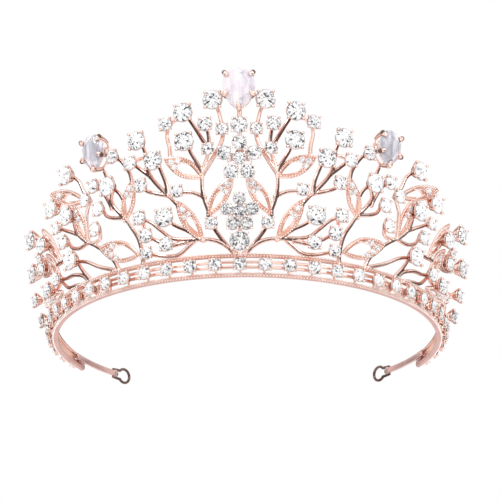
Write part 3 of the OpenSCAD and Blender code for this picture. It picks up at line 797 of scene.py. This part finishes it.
def leaf_body(leaf):
    """Rims of a leaf and the plate under its stones, before blending."""
    l, w, side = leaf_size(leaf)
    out = Shape()
    steps = np.linspace(0, 1, 19)
    radii = 0.56 * LEAF_RIM * np.interp(steps, [0, 0.12, 0.9, 1], [0.75, 1, 1, 0.7])
    for s in (-1, 1):
        path = [(s * x, y, 0) for x, y in (oval(l + 0.6, w - LEAF_RIM, u) for u in steps)]
        out.add(tube(path, radii, 10, up=(0, 0, 1), flat=0.62))
    turns = np.arange(14) * 2 * math.pi / 14
    rings = []
    for u in np.linspace(0.68, 0.97, 9):
        x, y = oval(l + 0.6, w - 0.5, u)
        ring = [x * np.cos(turns), np.full(14, -side * y), 0.46 * side * np.sin(turns)]
        rings.append(np.column_stack(ring))
    out.add(grid(rings))
    for f, x, d in leaf[3]:
        y = (f - 0.5) * l
        reach = w / 2 * math.sin(math.pi * f) - LEAF_RIM / 2
        ends = (x if x > 0 else -reach, x if x < 0 else reach)
        path = [(e, y, -0.1) for e in np.linspace(ends[0], ends[1], 4)]
        out.add(tube(path, d * 0.46, 10, up=(0, 0, 1), flat=0.42 * LEAF_T / (d * 0.46)))
    return Shape().add(out, leaf_frame(leaf))


def leaf_grains(leaf):
    """Places of the grains: a row along the outer edge, one round the opening, and a filling between them."""
    l, w, side = leaf_size(leaf)
    wide, hole = leaf_outline(leaf)
    found = []
    rows = (
        (l + LEAF_OVER, w, 0, -0.34, 1.0),
        (OPENING * l, w - 2 * LEAF_RIM, side * OPENING_AT * l, 0.3, 0.2),
    )
    for length, width, middle, by, pitch in rows:
        edge = np.array([oval(length, width, u) + (0, middle) for u in np.linspace(0.03, 0.97, 160)])
        run = np.concatenate([[0], np.cumsum(np.linalg.norm(np.diff(edge, axis=0), axis=1))])
        along = np.gradient(edge, axis=0)
        along /= np.linalg.norm(along, axis=1)[:, None]
        edge += by * np.column_stack([along[:, 1], -along[:, 0]])
        for at in np.linspace(0, run[-1], int(run[-1] / pitch) + 1):
            x, y = np.interp(at, run, edge[:, 0]), np.interp(at, run, edge[:, 1])
            found += [(x, y), (-x, y)]
    for y in np.arange(-l / 2, l / 2, 0.3):
        for x in np.arange(-w / 2, w / 2, 0.3):
            if wide(y) - abs(x) > 0.4 and abs(x) - hole(y) > 0.35:
                found.append((x, y))
    kept = []
    for x, y in found:
        clear = all(math.hypot(x - gx, y - (f - 0.5) * l) > d / 2 + 0.42 for f, gx, d in leaf[3])
        if clear and all(math.hypot(x - a, y - b) > GRAIN_GAP for a, b in kept):
            kept.append((x, y))
    return kept


def leaf_trim(leaf):
    """Grains on the leaf and the small collars of its stones."""
    out = Shape()
    grain = bead(0.34, 5, 8)
    wide, hole = leaf_outline(leaf)
    for x, y in leaf_grains(leaf):
        rim, gap = wide(y) - abs(x), abs(x) - hole(y)
        z = 0.26 + 0.24 * math.sin(math.pi * rim / (rim + gap)) if hole(y) > 0 else 0.4
        # The grains get the near-white gold of slot 2, painted light.
        out.add(grain, shift(x, y, z), slot=2)
    for f, x, d in leaf[3]:
        at = shift(x, (f - 0.5) * leaf_size(leaf)[0], 0)
        r = d / 2
        collar = [
            (0, 0.1), (r + 0.1, 0.1), (r + 0.2, 0.45), (r + 0.14, 0.6),
            (r + 0.02, 0.62), (r - 0.1, 0.5), (0, 0.2)
        ]
        out.add(lathe(collar, 18), at)
        for a in CLAWS:
            # The claw beads get the near-white gold of slot 2, painted light.
            out.add(bead(0.28, 4, 7), at @ turn_z(a) @ shift(r + 0.16, 0, 0.68), slot=2)
    return Shape().add(out, leaf_frame(leaf))


def leaf_gems(leaf):
    l = leaf_size(leaf)[0]
    out = Shape()
    for f, x, d in leaf[3]:
        d += STONE_OVER / 2
        out.add(jewel(d, 0.3 * d, 0.08, 0.8), leaf_frame(leaf) @ shift(x, (f - 0.5) * l, 0.6) @ random_turn())
    return out


# Branches
def stem(places):
    frames = np.array([fan(t, h) for t, h in smooth_path(places, 6)])
    thick = STEM_D if len(places) > 4 else TWIG_D + 0.3
    radii = np.linspace(thick, TWIG_D, len(frames)) / 2
    return tube(frames[:, :3, 3], radii, 12, up=frames[:, :3, 2])


def blended(shape, voxel, rounds, strength=0.5):
    """One closed skin over overlapping tubes, with softened joints, as a casting has."""
    mesh = shape.mesh("blend")
    obj = bpy.data.objects.new("blend", mesh)
    bpy.context.scene.collection.objects.link(obj)
    m = obj.modifiers.new("remesh", "REMESH")
    m.mode = "VOXEL"
    m.voxel_size = voxel * MM
    m.adaptivity = 0
    m = obj.modifiers.new("smooth", "SMOOTH")
    m.factor = strength
    m.iterations = rounds
    dg = bpy.context.evaluated_depsgraph_get()
    done = bpy.data.meshes.new_from_object(obj.evaluated_get(dg), depsgraph=dg)
    points = np.zeros(len(done.vertices) * 3)
    done.vertices.foreach_get("co", points)
    sizes = np.zeros(len(done.polygons), int)
    done.polygons.foreach_get("loop_total", sizes)
    corners = np.zeros(len(done.loops), int)
    done.loops.foreach_get("vertex_index", corners)
    bpy.data.objects.remove(obj)
    bpy.data.meshes.remove(mesh)
    bpy.data.meshes.remove(done)
    n = len(sizes)
    return Shape().join(points.reshape(-1, 3) / MM, corners, sizes, np.zeros(n, int), np.ones(n, bool))


def paint_dark_reflections(out, stems):
    """Painted dark reflections: the faces along the outer side of the stems that lean outwards get the
    near-black gold, in a band narrower at both ends.
    """
    first = out.first_points()
    slots = np.concatenate(out.slots)
    for s in stems:
        c = smooth_path(s, 6)
        lean = math.degrees(math.atan2(MM_PER_DEGREE * (c[-1, 0] - c[0, 0]), c[-1, 1] - c[0, 1]))
        if not 2 < lean < 100:
            continue
        frames = np.array([fan(t, h) for t, h in c])
        path, lift = frames[:, :3, 3], frames[:, :3, 2]
        side = np.cross(np.gradient(path, axis=0), lift)
        side /= np.linalg.norm(side, axis=1)[:, None]
        nearest = np.argmin(((first[:, None] - path[None]) ** 2).sum(2), axis=1)
        off = first - path[nearest]
        around = np.degrees(np.arctan2((off * lift[nearest]).sum(1), (off * side[nearest]).sum(1)))
        u = nearest / (len(c) - 1)
        half = (DARK_REFLECTION_HALF if lean < 60 else DARK_REFLECTION_HALF_LOW) * np.minimum(1, 5 * np.minimum(u, 1 - u) + 0.1)
        near = np.linalg.norm(off, axis=1) < 1.1
        # Faces in this band get the near-black gold, a painted dark reflection.
        slots = np.where(near & (np.abs(around - DARK_REFLECTION_AT) < half), METALS.index(PAINTED_DARK_GOLD), slots)
    out.slots = [slots]
    return out


def branch(stems, leaves):
    body = Shape()
    for s in stems:
        body.add(stem(s))
        body.add(bead(0.9, 8, 12), fan(*s[0]))
    for leaf in leaves:
        body.add(leaf_body(leaf))
    out = paint_dark_reflections(blended(body, 0.17, 3), stems)
    for leaf in leaves:
        wide, _ = leaf_outline(leaf)
        back = np.linalg.inv(leaf_frame(leaf))

        def on_face(c):
            x, y, z = back[:3, :3] @ c + back[:3, 3]
            return 0.12 < z < 0.9 and abs(x) < wide(y) - 0.12

        # The leaf plates between the rims get the darker gold of slot 1, painted shade.
        out.paint(on_face, 1)
    for leaf in leaves:
        out.add(leaf_trim(leaf))
    return out


# Band
def grains(s_at, half, r, out_by, offset=0):
    """Row of grains along the band; half is where it ends, offset shifts it by part of the pitch."""
    out = Shape()
    one = bead(r, 5, 8)
    step = math.degrees(RAIL_PITCH / BAND_R)
    count = int(half / step)
    for i in range(-count, count + 1 - int(offset > 0)):
        t = (i + offset) * step
        out.add(one, place(t, s_at(t), out_by))
    return out


def top_rail():
    section = rounded(box(0.12, UPPER_D, -RAIL_H, 0), 0.3)
    angles = np.linspace(-BAND_HALF + 1, BAND_HALF - 1, 240)
    out = swept(lambda t: wall_profile(t, section + (0, top_s(t))), angles)
    # The rail's front, between the grains, gets the darker gold of slot 1, painted shade.
    out.paint(lambda c: outside(c) > FACE, 1)
    # The grains get the near-white gold of slot 2, painted light.
    out.add(grains(lambda t: top_s(t) - 0.16, BAND_HALF - 1.5, 0.38, 0.02), slot=2)
    return out.add(grains(lambda t: top_s(t) - 0.84, BAND_HALF - 2, 0.34, 0.05, 0.5), slot=2)


def bottom_rail():
    front, high, lean = BAND_R - 0.12, RAIL_H * COS_F, RAIL_H * SIN_F
    section = rounded([
        (BAND_R - 1.2, 0), (front, 0), (front + lean, high),
        (BAND_R + lean - LOWER_D, high + 0.4), (BAND_R - LOWER_D, 0.4)
    ], 0.3)
    out = swept(lambda t: turned(section, t), np.linspace(-BAND_HALF, BAND_HALF, 241))
    r = END_H / 2
    pad = lathe([(0, 0), (r - 0.15, 0), (r, 0.15), (r, 0.7), (r - 0.2, 0.9), (0, 0.9)], 32)
    for t in (-BAND_HALF - 0.2, BAND_HALF + 0.2):
        out.add(pad, place(t, END_H / 2, -0.9))
    # The rail's front, between the grains, gets the darker gold of slot 1, painted shade.
    out.paint(lambda c: outside(c) > FACE, 1)
    # The grains get the near-white gold of slot 2, painted light.
    out.add(grains(lambda t: RAIL_H - 0.2, BAND_HALF - 3, 0.36, 0.05), slot=2)
    return out.add(grains(lambda t: 0.4, BAND_HALF - 0.6, 0.38, 0.05, 0.5), slot=2)


def web_grains():
    """Grains that fill the wall between the band stones where it is closed."""
    out = Shape()
    one = bead(0.36, 5, 8)
    sites = list(band_sites())
    step = math.degrees(WEB_PITCH / BAND_R)
    for k in range(int((BAND_HALF - 7 - OPEN_HALF) / step)):
        t = OPEN_HALF + 0.6 + k * step
        for j in range(5):
            s = RAIL_H + 0.55 + WEB_PITCH * (j + k % 2 / 2)
            clear = all(math.hypot(math.radians(t - a) * BAND_R, s - m) > d / 2 + 0.55 for a, m, d in sites)
            if clear and s < top_s(t) - RAIL_H - 0.1:
                out.add(one, place(t, s, -0.72))
                out.add(one, place(-t, s, -0.72))
    return out


def band_web():
    def plate_at(t):
        return wall_profile(t, rounded(box(0.8, 1.6, RAIL_H + 0.1, top_s(t) - RAIL_H + 0.1), 0.2, 2))

    plate = swept(plate_at, np.linspace(OPEN_HALF, BAND_HALF - 5.5, 110))
    # The plates get the near-white gold of slot 2, painted light; their deep back faces get the darker gold
    # of slot 1, painted shade.
    out = Shape().add(plate.mirrored(), slot=2).add(plate, slot=2)
    out.paint(lambda c: outside(c) < -1.3, 1)
    for y in (-0.6, 1.1):
        k = WALL_H / 2 + y
        bar = rounded(box(0.5, 1.4, k - 0.5, k + 0.5), 0.3)
        out.add(swept(lambda t: wall_profile(t, bar), np.linspace(-OPEN_HALF - 0.5, OPEN_HALF + 0.5, 60)))
    for i in range(-6, 7):
        strut = [place(i * PITCH, s, -0.95)[:3, 3] for s in np.linspace(RAIL_H, WALL_H / 2 - 0.8, 4)]
        out.add(tube(strut, 0.38, 10))
    # The grains of the web get the near-white gold of slot 2, painted light.
    return out.add(web_grains(), slot=2)


def band_sites():
    """Angle, height up the wall and size of each band stone."""
    for i in range(-BAND_SIDE, BAND_SIDE + 1):
        t = i * PITCH
        d = min(BAND_STONE, band_top(t) - 2 * RAIL_H + 0.6) - 0.1
        yield t, band_top(t) / 2 / COS_F, d


def band_cups():
    out = Shape()
    for t, s, d in band_sites():
        out.add(round_cup(d), place(t, s, -0.6))
    return out


def band_gems():
    out = Shape()
    for t, s, d in band_sites():
        out.add(round_stone(d, t), place(t, s, -0.24) @ random_turn())
    return out


# Arms and loops
def arm():
    r0 = ARM_R - ARM_T / 2
    section = rounded(box(r0, r0 + ARM_T, ARM_Z - ARM_H / 2, ARM_Z + ARM_H / 2), 0.28)
    out = swept(lambda t: turned(section, t), np.linspace(BAND_HALF - 5, ARM_END, 40))
    return out.add(disc((ARM_H + 0.8) / 2, ARM_T, 0.18, 28), upright(ARM_END, ARM_Z, r0))


def pin_loop():
    r = (LOOP_HOLE + WIRE_D) / 2
    gap = math.asin(1.7 / r)
    ring = [(r * math.cos(a), r * math.sin(a), 0) for a in np.linspace(math.pi - gap, -math.pi + gap, 48)]
    lead = [(-5.6, 1.55, 0), (-4.8, 1.6, 0), (-3.8, 1.68, 0), (-3.0, 1.75, 0)]
    path = lead + ring + [(x, -y, z) for x, y, z in reversed(lead)]
    wire = tube(smooth_path(path, 2), WIRE_D / 2, 14, up=(0, 0, 1))
    return Shape().add(wire, upright(ARM_END + math.degrees((r + 2) / ARM_R), ARM_Z, ARM_R))


# Materials
def new_material(name):
    m = bpy.data.materials.new(name)
    m.use_nodes = True
    nodes, links = m.node_tree.nodes, m.node_tree.links
    shader = next(n for n in nodes if n.type == "BSDF_PRINCIPLED")
    return m, nodes, links, shader


def noise(nodes, links, scale, detail, stretch=None):
    coord = nodes.new("ShaderNodeTexCoord").outputs["Object"]
    if stretch:
        mapping = nodes.new("ShaderNodeMapping")
        mapping.inputs["Scale"].default_value = stretch
        links.new(coord, mapping.inputs["Vector"])
        coord = mapping.outputs["Vector"]
    tex = nodes.new("ShaderNodeTexNoise")
    tex.inputs["Scale"].default_value = scale
    tex.inputs["Detail"].default_value = detail
    tex.inputs["Roughness"].default_value = 0.55
    links.new(coord, tex.inputs["Vector"])
    return tex.outputs["Fac"]


def ramp(nodes, links, source, stops):
    r = nodes.new("ShaderNodeValToRGB")
    ends = r.color_ramp.elements
    for e, (pos, col) in ((ends[0], stops[0]), (ends[1], stops[-1])):
        e.position, e.color = pos, (*col, 1)
    for pos, col in stops[1:-1]:
        ends.new(pos).color = (*col, 1)
    links.new(source, r.inputs["Fac"])
    return r.outputs["Color"]


def spread(nodes, links, source, low, high):
    r = nodes.new("ShaderNodeMapRange")
    r.inputs["From Min"].default_value = 0.3
    r.inputs["From Max"].default_value = 0.7
    r.inputs["To Min"].default_value = low
    r.inputs["To Max"].default_value = high
    links.new(source, r.inputs["Value"])
    return r.outputs["Result"]


def clouded(name, tints, at, rough, tone, haze, detail, stretch=None):
    """Material whose colour (in clouds of scale tone) and roughness (haze) vary over the surface."""
    m, nodes, links, s = new_material(name)
    cloud = noise(nodes, links, tone, detail, stretch)
    links.new(ramp(nodes, links, cloud, list(zip(at, tints))), s.inputs["Base Color"])
    links.new(spread(nodes, links, noise(nodes, links, haze, detail), *rough), s.inputs["Roughness"])
    return m, nodes, links, s


def rose_gold(name, tints, rough, bump_scale, bump, rim=None):
    """Plated metal; rim is the tint of its reflections at a glancing angle."""
    m, nodes, links, s = clouded(name, tints, (0.3, 0.52, 0.72), rough, 160, 700, 4)
    s.inputs["Metallic"].default_value = 1.0
    if rim:
        s.inputs["Specular Tint"].default_value = (*rim, 1)
    b = nodes.new("ShaderNodeBump")
    b.inputs["Strength"].default_value = bump
    b.inputs["Distance"].default_value = 0.00006
    links.new(noise(nodes, links, bump_scale, 3), b.inputs["Height"])
    links.new(b.outputs["Normal"], s.inputs["Normal"])
    return m


def stone(name, tints, rough=(0.02, 0.06), stretch=None):
    """Foiled crystal: pale and opaque, with a hard clear surface."""
    m, _, _, s = clouded(name, tints, (0.35, 0.5, 0.65), rough, 420, 900, 2, stretch)
    s.inputs["IOR"].default_value = 1.6
    s.inputs["Coat Weight"].default_value = 0.6
    s.inputs["Coat Roughness"].default_value = 0.02
    return m


def foil(name, tints, rough):
    m, _, _, s = clouded(name, tints, (0.3, 0.5, 0.7), rough, 520, 1500, 2)
    s.inputs["Metallic"].default_value = 1.0
    return m


GOLD = rose_gold("rose_gold_polished", [(0.93, 0.62, 0.53), (0.97, 0.72, 0.64), (0.99, 0.8, 0.74)],
                 (0.07, 0.16), 1400, 0.25, (0.4, 0.2, 0.16))
# Painted shade: a darker copy of the rose gold for the leaf plates, the rails' fronts between the grains and
# the web's back faces.
PAINTED_SHADE_GOLD = rose_gold("rose_gold_painted_shade", [(0.66, 0.33, 0.235), (0.78, 0.43, 0.325), (0.88, 0.55, 0.45)],
                   (0.25, 0.4), 1400, 0.35)
EDGED = rose_gold("rose_gold_edged", [(0.93, 0.68, 0.6), (0.97, 0.78, 0.71), (1.0, 0.86, 0.8)],
                  (0.1, 0.2), 1400, 0.25, (0.3, 0.1, 0.06))
# Painted light: a near-white copy of the rose gold for the grains, the leaves' claw beads, the web plates and
# the whole flowers.
PAINTED_LIGHT_GOLD = rose_gold("rose_gold_painted_light", [(0.98, 0.82, 0.77), (1.0, 0.91, 0.88), (1.0, 0.96, 0.94)],
                  (0.08, 0.18), 1400, 0.2)
SATIN = rose_gold("rose_gold_satin", [(0.64, 0.41, 0.375), (0.7, 0.455, 0.415), (0.75, 0.505, 0.465)],
                  (0.28, 0.42), 3000, 0.35)
BRUSHED = rose_gold("rose_gold_brushed", [(0.56, 0.33, 0.29), (0.62, 0.365, 0.325), (0.67, 0.41, 0.37)],
                    (0.28, 0.42), 3000, 0.35)
# Painted dark reflection: a near-black copy of the rose gold, for the stems' outer sides, some claw tips and
# the pin loops.
PAINTED_DARK_GOLD = rose_gold("rose_gold_painted_dark_reflection", [(0.09, 0.05, 0.045), (0.16, 0.1, 0.09), (0.3, 0.21, 0.185)],
                 (0.1, 0.2), 1400, 0.25)
CLEAR = stone("crystal_clear", [(0.86, 0.88, 0.91), (0.92, 0.925, 0.93), (0.96, 0.955, 0.95)])
# Painted reflections and outlines: pale grey, grey and nearly black copies of the crystal, for the facets and
# girdles of the round stones.
PAINTED_PALE_CRYSTAL = stone("crystal_painted_pale_reflection", [(0.58, 0.58, 0.6), (0.68, 0.675, 0.68), (0.78, 0.77, 0.77)])
PAINTED_GREY_CRYSTAL = stone("crystal_painted_grey_reflection_and_outline", [(0.27, 0.27, 0.29), (0.38, 0.37, 0.38), (0.52, 0.5, 0.5)])
PAINTED_DARK_CRYSTAL = stone("crystal_painted_dark_reflection_and_outline", [(0.03, 0.03, 0.035), (0.06, 0.058, 0.06), (0.12, 0.11, 0.11)])
MILKY = stone("crystal_milky", [(0.6, 0.54, 0.62), (0.74, 0.67, 0.73), (0.86, 0.79, 0.81)],
              (0.03, 0.1), (1, 1, 0.22))
SMOKY = stone("crystal_smoky", [(0.3, 0.29, 0.33), (0.5, 0.48, 0.54), (0.78, 0.75, 0.8)],
              (0.03, 0.1), (1, 1, 0.22))
# Painted reflection: a greyer copy of the milky crystal for some crown facets of the crown pear.
PAINTED_PEAR_GREY = stone("crystal_pear_painted_grey_reflection", [(0.5, 0.47, 0.54), (0.66, 0.62, 0.68), (0.8, 0.76, 0.8)],
             (0.03, 0.1), (1, 1, 0.3))
SILVER = foil("crystal_foil", [(0.8, 0.82, 0.86), (0.9, 0.9, 0.93), (0.95, 0.94, 0.93)], (0.05, 0.12))
PEARL = foil("crystal_milky_foil", [(0.86, 0.83, 0.92), (0.93, 0.9, 0.95), (0.97, 0.93, 0.95)], (0.1, 0.25))

# Materials of a piece, in the order of its mesh's material slots
# In METALS, slot 1 is painted shade, slot 2 painted light and slot 3 painted dark reflection; in CRYSTALS,
# slots 2 to 4 are painted reflections and outlines.
METALS = [GOLD, PAINTED_SHADE_GOLD, PAINTED_LIGHT_GOLD, PAINTED_DARK_GOLD]
SETTINGS = [GOLD, EDGED]
CRYSTALS = [CLEAR, SILVER, PAINTED_GREY_CRYSTAL, PAINTED_DARK_CRYSTAL, PAINTED_PALE_CRYSTAL]


# Pieces. Each replaces the CAD node that it is named after
def add_piece(node, shape, materials):
    name = node + "_fine"
    mesh = shape.mesh(name)
    for m in materials:
        mesh.materials.append(m)
    obj = bpy.data.objects.new(name, mesh)
    bpy.context.scene.collection.objects.link(obj)
    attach(obj, "root")
    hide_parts(node)


def both(node, shape, materials):
    add_piece("right_" + node, shape, materials)
    add_piece("left_" + node, shape.mirrored(), materials)


add_piece("bottom_rail", bottom_rail(), [BRUSHED, PAINTED_SHADE_GOLD, PAINTED_LIGHT_GOLD])
add_piece("top_rail", top_rail(), METALS)
add_piece("band_web", band_web(), METALS)
add_piece("band_cups", band_cups(), SETTINGS)
add_piece("band_stones", band_gems(), CRYSTALS)

for kind, (stems, leaves, stones) in FAN.items():
    both(kind + "_branch", branch(stems, leaves), METALS)
    both(kind + "_cups", settings(stones), SETTINGS)
    jewels = gems(stones)
    for leaf in leaves:
        jewels.add(leaf_gems(leaf))
    both(kind + "_stones", jewels, CRYSTALS)

# The flowers are drawn all in the near-white gold, painted light.
add_piece("upper_flower_cups", flower(UPPER_FLOWER, 32, 4.2, 44, 12), [PAINTED_LIGHT_GOLD, PAINTED_LIGHT_GOLD])
add_piece("upper_flower_stones", gems(UPPER_FLOWER, 0.02), CRYSTALS)
add_piece("lower_flower_cups", flower(LOWER_FLOWER, 13.5, 4, 12, 12.4), [PAINTED_LIGHT_GOLD, PAINTED_LIGHT_GOLD])
add_piece("lower_flower_stones", gems(LOWER_FLOWER, 0.06), CRYSTALS)

# The angles given here are the claws whose tips are painted with a dark reflection.
basket, gem = pear(CROWN_PEAR, (130, 230))
basket.add(backbone(CROWN_PEAR[1] + 1.5, 13, 0.75))
add_piece("crown_pear_setting", basket, [GOLD, PAINTED_DARK_GOLD])
add_piece("crown_pear_stone", gem, [MILKY, PEARL, PAINTED_PEAR_GREY])
basket, gem = pear(SIDE_PEAR, (70, 130, 230, 290))
both("pear_setting", basket, [GOLD, PAINTED_DARK_GOLD])
# Some crown facets of the side pears get the milky crystal, a painted pale reflection.
both("pear_stone", gem, [SMOKY, PEARL, MILKY])

strip, loop = arm(), pin_loop()
add_piece("right_arm", strip, [SATIN])
# The pin loops are drawn all in the near-black gold that paints the dark reflections.
add_piece("right_pin_loop", loop, [PAINTED_DARK_GOLD])
add_piece("left_arm", strip.mirrored(), [SATIN])
add_piece("left_pin_loop", loop.mirrored(), [PAINTED_DARK_GOLD])


# Floor, world and lights
def floor():
    """Pale floor, see-through from its underside, because the camera looks up from below it."""
    m, nodes, links, s = new_material("floor")
    s.inputs["Base Color"].default_value = (0.93, 0.93, 0.93, 1)
    s.inputs["Roughness"].default_value = 0.6
    geo = nodes.new("ShaderNodeNewGeometry")
    clear = nodes.new("ShaderNodeBsdfTransparent")
    mix = nodes.new("ShaderNodeMixShader")
    out = next(n for n in nodes if n.type == "OUTPUT_MATERIAL")
    links.new(geo.outputs["Backfacing"], mix.inputs[0])
    links.new(s.outputs[0], mix.inputs[1])
    links.new(clear.outputs[0], mix.inputs[2])
    links.new(mix.outputs[0], out.inputs["Surface"])
    k, z = FLOOR_HALF, FLOOR_Z
    mesh = bpy.data.meshes.new("floor")
    mesh.from_pydata([(-k, -k, z), (k, -k, z), (k, k, z), (-k, k, z)], [], [(0, 1, 2, 3)])
    mesh.materials.append(m)
    obj = bpy.data.objects.new("floor", mesh)
    bpy.context.scene.collection.objects.link(obj)
    obj.visible_glossy = obj.visible_transmission = obj.visible_shadow = False


def area(name, position, size, power):
    """Soft box aimed at the object."""
    lamp = bpy.data.lights.new(name, "AREA")
    lamp.shape = "RECTANGLE"
    lamp.size, lamp.size_y = size
    lamp.energy = power
    obj = bpy.data.objects.new(name, lamp)
    bpy.context.scene.collection.objects.link(obj)
    obj.location = position
    obj.rotation_mode = "QUATERNION"
    obj.rotation_quaternion = (Vector((0, 0, 0.03)) - Vector(position)).to_track_quat("-Z", "Y")


# Dark gaps between the soft boxes: direction, radius and softness in degrees, depth, height against width
GAPS = [
    ((0.9, -0.25, -0.38), 20, 5, 0.9, 0.6),
    ((-0.9, -0.25, -0.38), 20, 5, 0.9, 0.6),
    ((0.0, -1.0, -0.1), 15, 4, 0.9, 0.5),
    ((-0.35, -0.8, 0.45), 7, 3, 0.9, 1.3),
    ((0.4, -0.75, 0.5), 7, 3, 0.9, 1.3),
    ((0.9, -0.3, 0.35), 8, 4, 0.9, 1.6),
    ((-0.9, -0.3, 0.35), 8, 4, 0.9, 1.6),
    ((0.05, -0.3, 0.95), 10, 5, 0.8, 1),
    ((0.0, 0.94, 0.34), 13, 7, 0.8, 1),
    ((-0.85, 0.5, 0.1), 13, 6, 0.8, 1.5),
    ((0.85, 0.5, 0.1), 13, 6, 0.8, 1.5),
]


def studio():
    """White backdrop, and a white room with dark gaps that only the reflections show."""
    world = bpy.data.worlds.new("studio")
    bpy.context.scene.world = world
    world.use_nodes = True
    nodes, links = world.node_tree.nodes, world.node_tree.links
    nodes.clear()

    def vector(operation, source, second=(0, 0, 0)):
        node = nodes.new("ShaderNodeVectorMath")
        node.operation = operation
        node.inputs[1].default_value = second
        links.new(source, node.inputs[0])
        return node

    coord = nodes.new("ShaderNodeTexCoord").outputs["Generated"]
    value = None
    for (x, y, z), radius, soft, dark, tall in GAPS:
        squeezed = vector("MULTIPLY", coord, (1, 1, 1 / tall))
        unit = vector("NORMALIZE", squeezed.outputs[0])
        near = vector("DOT_PRODUCT", unit.outputs[0], Vector((x, y, z / tall)).normalized())
        step = nodes.new("ShaderNodeMapRange")
        step.interpolation_type = "SMOOTHSTEP"
        step.inputs["From Min"].default_value = math.cos(math.radians(radius + soft))
        step.inputs["From Max"].default_value = math.cos(math.radians(radius - soft))
        step.inputs["To Min"].default_value = 1.0
        step.inputs["To Max"].default_value = 1.0 - dark
        links.new(near.outputs["Value"], step.inputs["Value"])
        if value is None:
            value = step.outputs["Result"]
            continue
        product = nodes.new("ShaderNodeMath")
        product.operation = "MULTIPLY"
        links.new(value, product.inputs[0])
        links.new(step.outputs["Result"], product.inputs[1])
        value = product.outputs[0]
    room = nodes.new("ShaderNodeBackground")
    tone = ramp(nodes, links, value, [(0.0, (0.02, 0.017, 0.017)), (1.0, (1.0, 1.0, 1.0))])
    links.new(tone, room.inputs["Color"])
    room.inputs["Strength"].default_value = 1.15
    white = nodes.new("ShaderNodeBackground")
    white.inputs["Color"].default_value = (1, 1, 1, 1)
    white.inputs["Strength"].default_value = 1.0
    path = nodes.new("ShaderNodeLightPath")
    mix = nodes.new("ShaderNodeMixShader")
    links.new(path.outputs["Is Camera Ray"], mix.inputs[0])
    links.new(room.outputs[0], mix.inputs[1])
    links.new(white.outputs[0], mix.inputs[2])
    out = nodes.new("ShaderNodeOutputWorld")
    links.new(mix.outputs[0], out.inputs["Surface"])


floor()
studio()
area("key", (-0.5, -0.7, 0.7), (0.3, 0.3), 2.2)
area("fill", (0.7, -0.6, 0.4), (0.25, 0.35), 1.2)
bpy.context.scene.view_settings.view_transform = "Standard"
